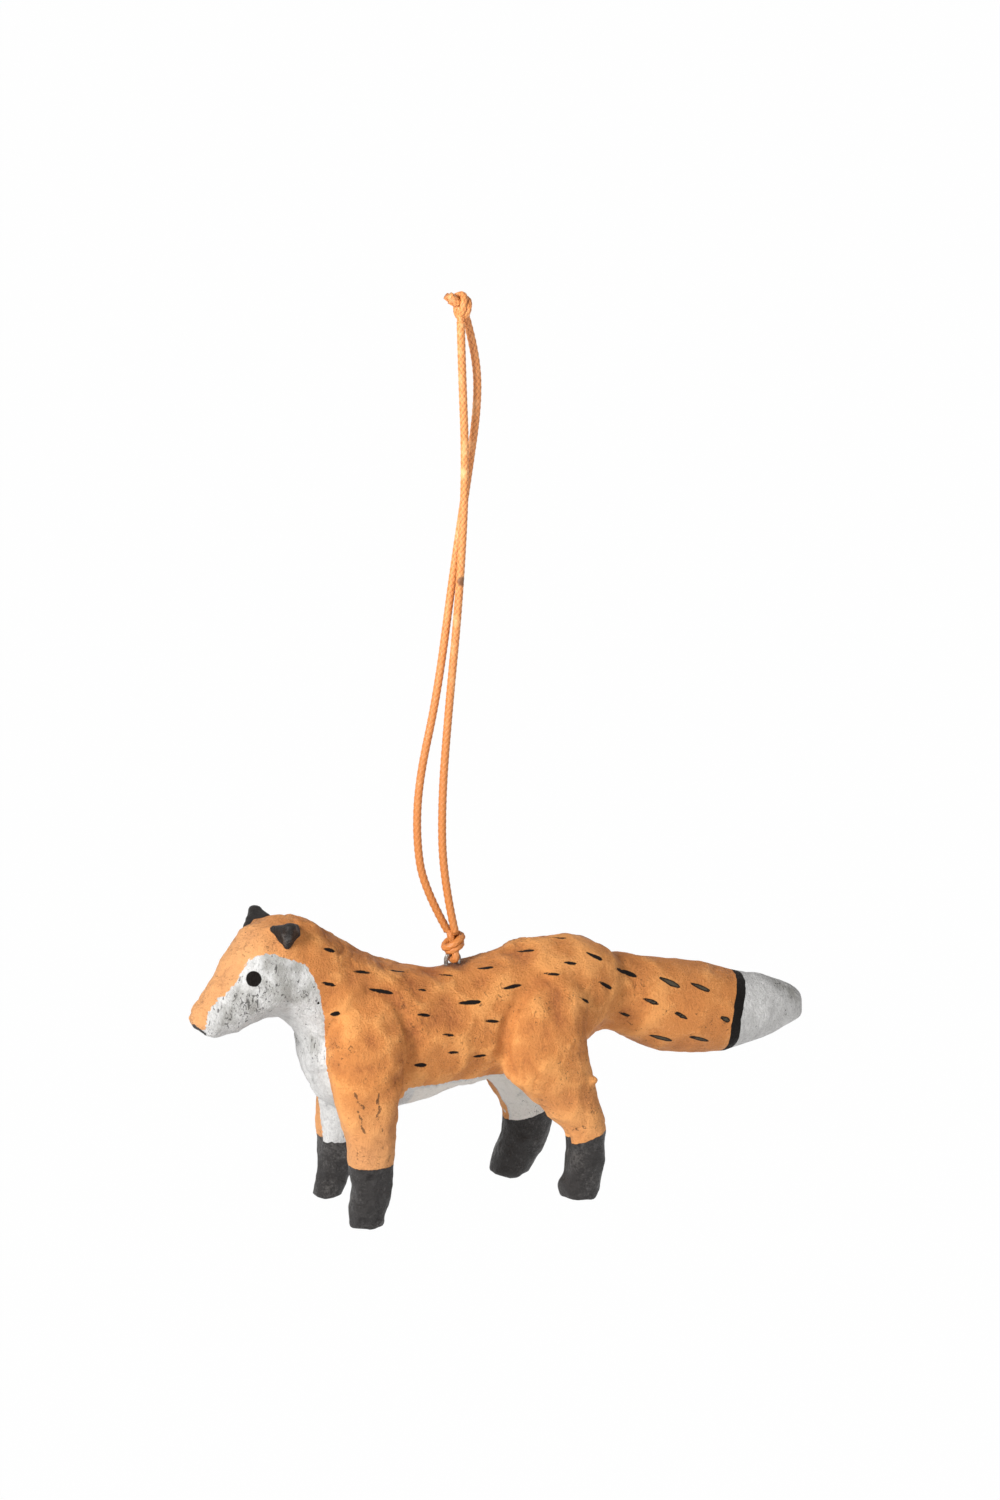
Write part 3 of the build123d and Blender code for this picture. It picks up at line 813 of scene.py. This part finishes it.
# The deep orange is painted shade and the golden orange a painted highlight, both set by the height of the
# pulp.
ORANGE_DEEP_SHADE = (0.44, 0.145, 0.042, 1.0)
ORANGE = (0.61, 0.230, 0.063, 1.0)
ORANGE_GOLD_HIGHLIGHT = (0.76, 0.325, 0.098, 1.0)
SMUDGE_AND_SHADE_BROWN = (0.25, 0.085, 0.030, 1.0)
ORANGE_PALE_HIGHLIGHT = (0.74, 0.38, 0.165, 1.0)
WHITE = (0.71, 0.70, 0.685, 1.0)
WHITE_GREY = (0.49, 0.48, 0.47, 1.0)
WHITE_LIT = (0.80, 0.75, 0.69, 1.0)
SOIL_GREY = (0.30, 0.29, 0.265, 1.0)
STROKE_BLACK = (0.010, 0.008, 0.007, 1.0)
STROKE_OLIVE = (0.080, 0.066, 0.045, 1.0)
CHARCOAL = (0.020, 0.017, 0.016, 1.0)
CHARCOAL_WORN = (0.066, 0.060, 0.056, 1.0)
PIT_BROWN = (0.10, 0.045, 0.02, 1.0)
EYE_HOLLOW_BROWN = (0.22, 0.085, 0.035, 1.0)
PAINT_SHEEN, SOCK_SHEEN = 0.22, 0.38
# How fine the marks in pulp and paint are, per metre: blotches, grain and specks, then smudges, soil
# and the wander of a brushed edge
BLOTCH_SCALE, FINE_SCALE, SPECK_SCALE, CROWD_SCALE, GRAIN_SCALE = 170.0, 2300.0, 1300.0, 95.0, 520.0
SMUDGE_SCALE, SOIL_SCALE, EDGE_SCALE = 800.0, 420.0, 1100.0
PULP_PITS, SOIL_PITS = 0.055, 0.08
EDGE_SOFTNESS, CRACK_HALF_WIDTH = 0.07, 0.2
WRINKLE_SCALE, WRINKLE_HEIGHT, PULP_RELIEF = 480.0, 2.2, 0.0006


def start_group(name, inputs, outputs):
    """New group of nodes with named inputs and outputs."""
    group = bpy.data.node_groups.new(name, "ShaderNodeTree")
    for socket, kind in inputs:
        group.interface.new_socket(socket, in_out="INPUT", socket_type=kind)
    for socket, kind in outputs:
        group.interface.new_socket(socket, in_out="OUTPUT", socket_type=kind)
    return group, group.nodes.new("NodeGroupInput").outputs, group.nodes.new("NodeGroupOutput").inputs


def use_group(tree, group, **inputs):
    """Place a group of nodes in a material."""
    return place(tree, "ShaderNodeGroup", {"node_tree": group}, **inputs).outputs


# Brushed edge: where a coat of paint ends, from its signed distance in millimetres, a little ragged
brushed_edge, given, made = start_group(
    "brushed_edge",
    [("Distance", "NodeSocketFloat"), ("Place", "NodeSocketVector"), ("Ragged", "NodeSocketFloat")],
    [("Mask", "NodeSocketFloat")],
)
wander = sums(brushed_edge, "SUBTRACT", grain(brushed_edge, given["Place"], EDGE_SCALE, 3.0), 0.5)
wander = scaled(brushed_edge, wander, given["Ragged"])
reached = sums(brushed_edge, "ADD", given["Distance"], wander)
brushed_edge.links.new(limits(brushed_edge, reached, -EDGE_SOFTNESS, EDGE_SOFTNESS), made["Mask"])

# Pulp: the dried paper's mottling, its dark pits and the height of its grain
pulp_grain, given, made = start_group(
    "pulp_grain",
    [("Place", "NodeSocketVector"), ("Pits", "NodeSocketFloat")],
    [(name, "NodeSocketFloat") for name in ("Mottle", "Pit", "Height")],
)
blotch = grain(pulp_grain, given["Place"], BLOTCH_SCALE, 5.0, 0.62)
fine = grain(pulp_grain, given["Place"], FINE_SCALE, 5.0, 0.7)
mottle = sums(pulp_grain, "ADD", scaled(pulp_grain, blotch, 0.5), scaled(pulp_grain, fine, 0.5))
pulp_grain.links.new(limits(pulp_grain, mottle, 0.36, 0.64), made["Mottle"])
speck = grain(pulp_grain, given["Place"], SPECK_SCALE, 4.0, 0.6, 1.6)
crowd = sums(pulp_grain, "SUBTRACT", grain(pulp_grain, given["Place"], CROWD_SCALE, 2.0, 0.5), 0.5)
speck = sums(pulp_grain, "ADD", speck, scaled(pulp_grain, crowd, 0.25))
speck = sums(pulp_grain, "ADD", speck, given["Pits"])
pit = limits(pulp_grain, speck, 0.70, 0.74)
pulp_grain.links.new(pit, made["Pit"])
height = scaled(pulp_grain, grain(pulp_grain, given["Place"], GRAIN_SCALE), 0.6)
height = sums(pulp_grain, "SUBTRACT", sums(pulp_grain, "ADD", fine, height), pit)
pulp_grain.links.new(height, made["Height"])


def painted(tree, name):
    """A layer of paint laid on the skin's points."""
    return place(tree, "ShaderNodeAttribute", {"attribute_name": name}).outputs["Fac"]


def coat_mask(tree, spot, distance, ragged):
    """Where a coat of paint lies."""
    return use_group(tree, brushed_edge, Distance=distance, Place=spot, Ragged=ragged)["Mask"]


painted_pulp, tree, shader = start_material("painted_pulp")
spot = own_place(tree)
pulp_look = use_group(tree, pulp_grain, Place=spot, Pits=PULP_PITS)
level = painted(tree, "height_and_shade")
# Orange runs deeper in hollows and grooves, a painted shade, and golden on raised lumps, a painted
# highlight; the mottle varies both at random.
brushing_and_light = sums(tree, "ADD", level, scaled(tree, pulp_look["Mottle"], 0.36))
orange = tint(tree, limits(tree, brushing_and_light, -0.35, 0.12), ORANGE_DEEP_SHADE, ORANGE)
orange = tint(tree, limits(tree, brushing_and_light, 0.12, 0.48), orange, ORANGE_GOLD_HIGHLIGHT)
# Paler orange on muzzle and lower legs: part pale paint, part painted highlight.
orange = tint(tree, scaled(tree, painted(tree, "pale_paint_and_highlight"), 0.75), orange, ORANGE_PALE_HIGHLIGHT)
orange = tint(tree, painted(tree, "eye_hollow"), orange, EYE_HOLLOW_BROWN)
# Brown smudges at random, denser where the pulp lies low, where they are painted shade.
hollow = sums(tree, "SUBTRACT", grain(tree, spot, SMUDGE_SCALE, 6.0, 0.8), scaled(tree, level, 0.2))
orange = tint(tree, limits(tree, hollow, 0.56, 0.82, 0.0, 0.8), orange, SMUDGE_AND_SHADE_BROWN)
orange = tint(tree, scaled(tree, pulp_look["Pit"], 0.6), orange, PIT_BROWN)
turned = place(
    tree, "ShaderNodeMapping", Vector=spot, Rotation=(0.4, 1.1, 0.2), Scale=(1.0, 1.0, 0.5)
).outputs["Vector"]
soil = painted(tree, "soil")
soiled_pits = sums(tree, "ADD", scaled(tree, soil, SOIL_PITS), PULP_PITS)
white_look = use_group(tree, pulp_grain, Place=turned, Pits=soiled_pits)
white = tint(tree, white_look["Mottle"], WHITE_GREY, WHITE)
# Lighter, warmer white on belly and inner hind legs: painted bounce light from below.
white = tint(tree, limits(tree, painted(tree, "lit_white_paint"), 0.0, 1.0, 0.0, 0.85), white, WHITE_LIT)
smudge = sums(tree, "ADD", grain(tree, turned, SOIL_SCALE, 5.0, 0.7), scaled(tree, soil, 0.3))
white = tint(tree, limits(tree, smudge, 0.53, 0.9, 0.0, 0.85), white, SOIL_GREY)
white = tint(tree, scaled(tree, white_look["Pit"], 0.75), white, CHARCOAL)
charcoal = tint(tree, limits(tree, pulp_look["Mottle"], 0.55, 1.0), CHARCOAL, CHARCOAL_WORN)
white_mask = coat_mask(tree, spot, painted(tree, "white_paint"), 1.0)
black_mask = coat_mask(tree, spot, painted(tree, "black_paint"), 0.45)
stroke_mask = coat_mask(tree, spot, painted(tree, "stroke_paint"), 0.3)
crack = sums(tree, "SUBTRACT", CRACK_HALF_WIDTH, painted(tree, "crack_reach"))
crack_mask = coat_mask(tree, spot, crack, 0.9)
coat_colour = tint(tree, black_mask, tint(tree, white_mask, orange, white), charcoal)
worn = limits(tree, painted(tree, "worn_stroke"), 0.12, 0.34)
coat_colour = tint(tree, stroke_mask, coat_colour, tint(tree, worn, STROKE_BLACK, STROKE_OLIVE))
coat_colour = tint(tree, scaled(tree, crack_mask, 0.8), coat_colour, PIT_BROWN)
tree.links.new(coat_colour, shader.inputs["Base Color"])
dullness = limits(tree, pulp_look["Mottle"], 0.0, 1.0, 0.72, 0.5)
dullness = scaled(tree, dullness, limits(tree, black_mask, 0.0, 1.0, 1.0, 0.78))
tree.links.new(dullness, shader.inputs["Roughness"])
sheen = limits(tree, black_mask, 0.0, 1.0, PAINT_SHEEN, SOCK_SHEEN)
sheen = scaled(tree, sheen, limits(tree, stroke_mask, 0.0, 1.0, 1.0, 0.3))
tree.links.new(sheen, shader.inputs["Specular IOR Level"])
wrinkles = place(
    tree, "ShaderNodeTexVoronoi", {"feature": "SMOOTH_F1"}, Vector=spot, Scale=WRINKLE_SCALE, Smoothness=0.35
).outputs["Distance"]
wrinkles = scaled(tree, scaled(tree, wrinkles, black_mask), WRINKLE_HEIGHT)
relief(tree, shader, sums(tree, "ADD", pulp_look["Height"], wrinkles), PULP_RELIEF)
skin_mesh.materials.clear()
skin_mesh.materials.append(painted_pulp)
fox_skin = add_piece("fox_skin", skin_mesh)
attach(fox_skin, "fox")
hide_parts("paper_skin")

# Ears: two pinches of pulp set on the head and painted black. Each leans out over a foot with five
# corners, sunk into the head, and is coated and softened as the skin is.
EAR_TIP = Vector((-36.1, -8.2, 13.1))
EAR_TIP_SIZE, EAR_TIP_CORNERS = 0.6, 6
FAR_EAR_SHIFT = Vector((-1.8, 0.0, -0.8))
EAR_SINK = Vector((0.0, 2.2, -2.2))
EAR_VOXEL, EAR_SOFTENING, EAR_COAT = 0.2, 6, 0.5
EAR_LUMPS = [(2.2, 0.22), (0.9, 0.1)]
EAR_RELIEF = 0.00018

ear_pulp, tree, shader = start_material("ear_pulp")
spot = own_place(tree)
ear_look = use_group(tree, pulp_grain, Place=spot, Pits=0.0)
ear_colour = tint(tree, limits(tree, ear_look["Mottle"], 0.7, 1.1), STROKE_BLACK, CHARCOAL_WORN)
tree.links.new(ear_colour, shader.inputs["Base Color"])
tree.links.new(limits(tree, ear_look["Mottle"], 0.0, 1.0, 0.6, 0.4), shader.inputs["Roughness"])
shader.inputs["Specular IOR Level"].default_value = PAINT_SHEEN
relief(tree, shader, ear_look["Height"], EAR_RELIEF)
for name, side in (("left_ear", 1), ("right_ear", -1)):
    pinch = bmesh.new()
    for point in ear_foot:
        corner = point if side > 0 else point + FAR_EAR_SHIFT
        pinch.verts.new(corner)
        pinch.verts.new(corner + EAR_SINK)
    tip_place = Matrix.Translation(EAR_TIP)
    bmesh.ops.create_circle(pinch, segments=EAR_TIP_CORNERS, radius=EAR_TIP_SIZE, matrix=tip_place)
    bmesh.ops.convex_hull(pinch, input=pinch.verts)
    if side < 0:
        bmesh.ops.scale(pinch, vec=(1.0, -1.0, 1.0), verts=pinch.verts)
    ear_mesh = coated(name + "_pinch", pinch, EAR_VOXEL, EAR_SOFTENING)
    points = corners(ear_mesh)
    points += facing(ear_mesh) * (EAR_COAT + lumps(points, EAR_LUMPS))[:, None]
    ear_mesh.vertices.foreach_set("co", points.ravel())
    ear_mesh.transform(Matrix.Translation(BACK_AT * MM) @ Matrix.Scale(MM, 4))
    ear_mesh.shade_smooth()
    ear_mesh.materials.clear()
    ear_mesh.materials.append(ear_pulp)
    ear = add_piece(name + "_pinch", ear_mesh)
    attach(ear, "fox")
    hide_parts(name)

# Eye: a staple of thin galvanised wire, its two legs pressed into the back. It is dull with handling
# and tarnished in spots. The solid itself shows, in its own material.
EYE_GREY = (0.40, 0.39, 0.37, 1.0)
EYE_TARNISH = (0.13, 0.11, 0.095, 1.0)
EYE_SPOTS, EYE_RELIEF = 1300.0, 0.00005

eye_wire, tree, shader = start_material("eye_wire")
spot = own_place(tree)
tarnish = grain(tree, spot, EYE_SPOTS, 4.0)
eye_colour = tint(tree, limits(tree, tarnish, 0.38, 0.62), EYE_TARNISH, EYE_GREY)
tree.links.new(eye_colour, shader.inputs["Base Color"])
tree.links.new(limits(tree, tarnish, 0.3, 0.7, 0.6, 0.32), shader.inputs["Roughness"])
shader.inputs["Metallic"].default_value = 1.0
relief(tree, shader, tarnish, EYE_RELIEF)
dress("hanging_eye", eye_wire)

# Cord loop: one length of waxed cotton braid, doubled. Its two strands hang side by side, cross half
# way up, and are knotted at both ends. The routes repeat the solids' points, in millimetres.
CORD_D = 1.6
FRONT_ROUTE = [
    (-0.9, -0.9, 0.2),
    (-0.7, -1.0, -9.0),
    (0.1, -1.0, -28.0),
    (-1.3, -0.9, -52.0),
    (-3.4, -0.8, -72.0),
    (-5.0, -0.8, -90.0),
    (-4.8, -0.9, -105.0),
    (-2.3, -0.9, -115.7),
]
REAR_ROUTE = [
    (0.8, 0.9, 1.5),
    (3.0, 0.9, -5.5),
    (3.6, 0.9, -15.0),
    (1.4, 0.9, -29.0),
    (-1.8, 0.9, -48.0),
    (-5.0, 0.9, -70.0),
    (-8.9, 0.9, -86.0),
    (-9.5, 0.9, -97.0),
    (-8.0, 0.9, -107.0),
    (-3.0, 0.9, -115.8),
]
STRAND_STEPS = 90
ROUND_STEPS = 30
YARN_PAIRS = 5
YARN_PITCH = 1.25
YARN_DEPTH = 0.13
YARN_ROUNDNESS, YARN_DIP = 0.6, 0.45


def laid_line(points, steps):
    """Points along the smooth spline that the route's points control, in metres."""
    curve = bpy.data.curves.new("route", "CURVE")
    curve.dimensions = "3D"
    spline = curve.splines.new("NURBS")
    spline.points.add(len(points) - 1)
    for knot_point, point in zip(spline.points, points):
        knot_point.co = (point[0] * MM, point[1] * MM, point[2] * MM, 1.0)
    spline.order_u = 3
    spline.use_endpoint_u = True
    spline.resolution_u = steps
    holder = add_piece("route", curve)
    line = bpy.data.meshes.new_from_object(holder)
    found = [vertex.co.copy() for vertex in line.vertices]
    bpy.data.objects.remove(holder)
    bpy.data.meshes.remove(line)
    return found


def plait(turns, lengths):
    """Height from 0 to 1 of yarns that pass over and under each other round a cord."""
    one_way = turns * YARN_PAIRS + lengths
    other_way = turns * YARN_PAIRS - lengths
    over = (np.floor(one_way) + np.floor(other_way)) % 2 == 0
    across = np.where(over, one_way, other_way) % 1
    along = np.where(over, other_way, one_way) % 1
    return np.sin(pi * across) ** YARN_ROUNDNESS * (1 - YARN_DIP + YARN_DIP * np.sin(pi * along))


def braid(shape, line, diameter=CORD_D):
    """Add a braided tube that follows a line of points."""
    heights = shape.verts.layers.float.get("yarn") or shape.verts.layers.float.new("yarn")
    made = bmesh.ops.create_grid(shape, x_segments=ROUND_STEPS, y_segments=len(line) - 1, size=0.5)
    line_points = np.array(line)
    runs = np.linalg.norm(np.diff(line_points, axis=0), axis=1)
    lengths = np.concatenate([[0.0], np.cumsum(runs)]) / (YARN_PITCH * MM)
    normals = []
    normal = Vector((0.0, -1.0, 0.0))
    for number, point in enumerate(line):
        ahead = line[min(number + 1, len(line) - 1)] - line[max(number - 1, 0)]
        ahead.normalize()
        normal = (normal - ahead * normal.dot(ahead)).normalized()
        normals.append((normal.copy(), ahead.cross(normal)))
    for vertex in made["verts"]:
        step = round((vertex.co.x + 0.5) * ROUND_STEPS) % ROUND_STEPS
        row = round((vertex.co.y + 0.5) * (len(line) - 1))
        turn = step / ROUND_STEPS
        height = float(plait(np.array(turn), np.array(lengths[row])))
        radius = diameter / 2 * MM - YARN_DEPTH * MM * (1 - height)
        first, second = normals[row]
        vertex[heights] = height
        vertex.co = line[row] + (first * cos(2 * pi * turn) + second * sin(2 * pi * turn)) * radius
    bmesh.ops.remove_doubles(shape, verts=made["verts"], dist=1e-7)
    bmesh.ops.holes_fill(shape, edges=[edge for edge in shape.edges if edge.is_boundary], sides=0)


CORD_ORANGE = (0.70, 0.27, 0.078, 1.0)
CORD_SHADE = (0.33, 0.10, 0.026, 1.0)
CORD_WORN = (0.78, 0.42, 0.18, 1.0)
CORD_LOW = (0.46, 0.150, 0.028, 1.0)
STAIN_BROWN = (0.10, 0.035, 0.012, 1.0)
# In metres: heights between which the cord turns browner, and a stain's place with its inner and outer
# reach
LOW_FROM, LOW_TO = -0.035, -0.095
STAIN_AT, STAIN_REACH = (-0.0011, -0.0017, -0.0484), (0.0006, 0.0012)
CORD_WEAR, CORD_WAX, CORD_FIBRES, CORD_RELIEF = 300.0, 700.0, 6000.0, 0.00003

waxed_cord, tree, shader = start_material("waxed_cord")
spot = own_place(tree)
yarn = painted(tree, "yarn")
cord_colour = tint(tree, limits(tree, yarn, 0.1, 0.75), CORD_SHADE, CORD_ORANGE)
cord_colour = tint(tree, limits(tree, grain(tree, spot, CORD_WEAR), 0.5, 0.75), cord_colour, CORD_WORN)
low = place(tree, "ShaderNodeSeparateXYZ", Vector=spot).outputs["Z"]
cord_colour = tint(tree, limits(tree, low, LOW_FROM, LOW_TO, 0.0, 0.85), cord_colour, CORD_LOW)
stain = place(tree, "ShaderNodeVectorMath", {"operation": "DISTANCE"}, _0=spot, _1=STAIN_AT).outputs["Value"]
cord_colour = tint(tree, limits(tree, stain, *STAIN_REACH, 0.85, 0.0), cord_colour, STAIN_BROWN)
tree.links.new(cord_colour, shader.inputs["Base Color"])
tree.links.new(limits(tree, grain(tree, spot, CORD_WAX), 0.3, 0.7, 0.62, 0.42), shader.inputs["Roughness"])
relief(tree, shader, grain(tree, spot, CORD_FIBRES), CORD_RELIEF)

for name, route in (("front_strand", FRONT_ROUTE), ("rear_strand", REAR_ROUTE)):
    line = laid_line(route[::-1], STRAND_STEPS)
    shape = bmesh.new()
    braid(shape, line)
    mesh = from_bmesh(name + "_braid", shape)
    mesh.materials.append(waxed_cord)
    strand = add_piece(name + "_braid", mesh)
    length = sum((b - a).length for a, b in zip(line, line[1:]))
    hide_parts(name)
    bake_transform(strand)

# Knots: the doubled cord is tied in an overhand knot above the eye, its bight passing through the
# eye, and its two cut ends in another at the top of the loop, which leans over.
KNOT_MIDDLE = Vector((-2.4, 0.0, -117.9))
TOP_KNOT_MIDDLE = Vector((-0.5, 0.0, 3.0))
TOP_KNOT_LEAN = radians(-50.0)
KNOT_CORD_D = 1.45
KNOT_TURNS = [
    (0.1, -0.7, 2.2), (0.4, 0.7, 1.6), (1.5, 0.7, 1.3), (1.9, -0.5, 0.95), (0.6, -1.6, 0.6),
    (-0.9, -1.5, -0.4), (-1.75, -0.3, -1.0), (-1.2, 1.1, -0.7), (0.2, 1.6, 0.2), (1.5, 0.9, 0.3),
    (1.75, -0.4, -0.35), (0.5, -1.6, -0.7), (-0.8, -1.3, -1.4), (-1.1, 0.1, -1.6), (-0.4, 0.9, -1.4),
]
KNOT_HEART = [(-0.4, 0.6, 2.2), (-0.3, 0.3, 1.2), (0.2, 0.1, 0.0), (0.1, 0.0, -1.4)]
BIGHT = [
    (0.0, 0.9, -1.2), (0.0, 1.6, -2.2), (0.0, 1.3, -3.35),
    (0.0, -1.3, -3.35), (0.0, -1.6, -2.2), (0.0, -0.9, -1.2),
]
CUT_ENDS = [
    [(0.0, -0.75, 1.0), (0.1, -0.8, 2.2), (0.0, -0.9, 3.4)],
    [(0.0, 0.75, 1.0), (-0.1, 0.8, 2.2), (-0.2, 0.9, 3.2)],
]
# Where the front strand runs on into the upper knot
STRAND_ENTRY = [(-0.87, -0.9, -0.6), (-0.9, -0.85, 0.9), (-0.7, -0.5, 1.9), (-0.5, 0.0, 3.0)]
KNOT_STEPS = 10


def tie(name, node, body, middle, lean, parts):
    """One knot of braided cord round its middle."""
    turn = Matrix.Rotation(lean, 3, "Y")
    shape = bmesh.new()
    for part in parts:
        line = laid_line([middle + turn @ Vector(point) for point in part], KNOT_STEPS)
        braid(shape, line, KNOT_CORD_D)
    mesh = from_bmesh(name, shape)
    mesh.materials.append(waxed_cord)
    piece = add_piece(name, mesh)
    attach(piece, body)
    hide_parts(node)
    return piece


low_parts = [KNOT_TURNS, KNOT_HEART, BIGHT]
tie("lower_knot_turns", "lower_knot", "tied_knot", KNOT_MIDDLE, 0.0, low_parts)
upright = Matrix.Rotation(-TOP_KNOT_LEAN, 3, "Y")
entry = [upright @ (Vector(point) - TOP_KNOT_MIDDLE) for point in STRAND_ENTRY]
top_parts = [KNOT_TURNS, KNOT_HEART, entry] + CUT_ENDS
top_knot = tie("top_knot_turns", "top_knot", "cord", TOP_KNOT_MIDDLE, TOP_KNOT_LEAN, top_parts)

# Studio: a pale floor well below the fox, a white surround, a soft lamp to the left of the lens, and a
# weak one on each of its right and lower sides.
FLOOR_Z = -0.50
FLOOR_SIZE = 60.0
SURROUND = 0.27
FLOOR_GLOW, FLOOR_SHOWN = 0.65, 0.99
FLOOR_WHITE = (0.92, 0.92, 0.92, 1.0)
LAMP_AIM = Vector((0.0, 0.0, -10.0))


def shown_share(tree):
    """One for light that reaches the lens straight, by gloss or through glass, and none for the rest."""
    light_path = place(tree, "ShaderNodeLightPath").outputs
    shown = sums(tree, "MAXIMUM", light_path["Is Camera Ray"], light_path["Is Glossy Ray"])
    return sums(tree, "MAXIMUM", shown, light_path["Is Transmission Ray"])


floor_shape = bmesh.new()
floor_place = Matrix.Translation((0, 0, FLOOR_Z))
bmesh.ops.create_grid(floor_shape, x_segments=1, y_segments=1, size=FLOOR_SIZE / 2, matrix=floor_place)
floor = add_piece("floor", from_bmesh("floor", floor_shape))
floor_paper, tree, shader = start_material("floor_paper")
shader.inputs["Base Color"].default_value = FLOOR_WHITE
shader.inputs["Roughness"].default_value = 0.9
glow = place(tree, "ShaderNodeEmission", Color=(1.0, 1.0, 1.0, 1.0), Strength=1.0)
shown = limits(tree, shown_share(tree), 0.0, 1.0, FLOOR_GLOW, FLOOR_SHOWN)
mixed = place(tree, "ShaderNodeMixShader", _0=shown, _1=shader.outputs["BSDF"], _2=glow.outputs[0])
tree.links.new(mixed.outputs[0], tree.nodes["Material Output"].inputs["Surface"])
floor.data.materials.append(floor_paper)

world = bpy.data.worlds.new("studio")
scene.world = world
world.use_nodes = True
tree = world.node_tree
tree.nodes.clear()
shown = shown_share(tree)
strength = place(tree, "ShaderNodeMapRange", Value=shown, To_Min=SURROUND, To_Max=1.0).outputs["Result"]
surround = place(tree, "ShaderNodeBackground", Color=(1.0, 1.0, 1.0, 1.0), Strength=strength)
place(tree, "ShaderNodeOutputWorld", Surface=surround.outputs[0])


def lamp(name, toward, distance, size, power):
    """Soft square lamp that faces the fox from a direction."""
    data = bpy.data.lights.new(name, "AREA")
    data.size = size
    data.energy = power
    piece = add_piece(name, data)
    aim = (BACK_AT + LAMP_AIM) * MM
    piece.location = aim + toward.normalized() * distance
    piece.rotation_euler = toward.to_track_quat("Z", "Y").to_euler()


from_left = view_right * -0.56 + view_back * 0.76 + view_up * 0.30
from_right = view_right * 0.62 + view_back * 0.75 + view_up * 0.2
from_below = view_back * 0.94 + view_up * -0.34
lamp("key_lamp", from_left, distance=0.9, size=0.3, power=11.3)
lamp("fill_lamp", from_right, distance=1.0, size=0.6, power=1.9)
lamp("low_lamp", from_below, distance=0.9, size=0.3, power=1.3)
scene.view_settings.view_transform = "Standard"
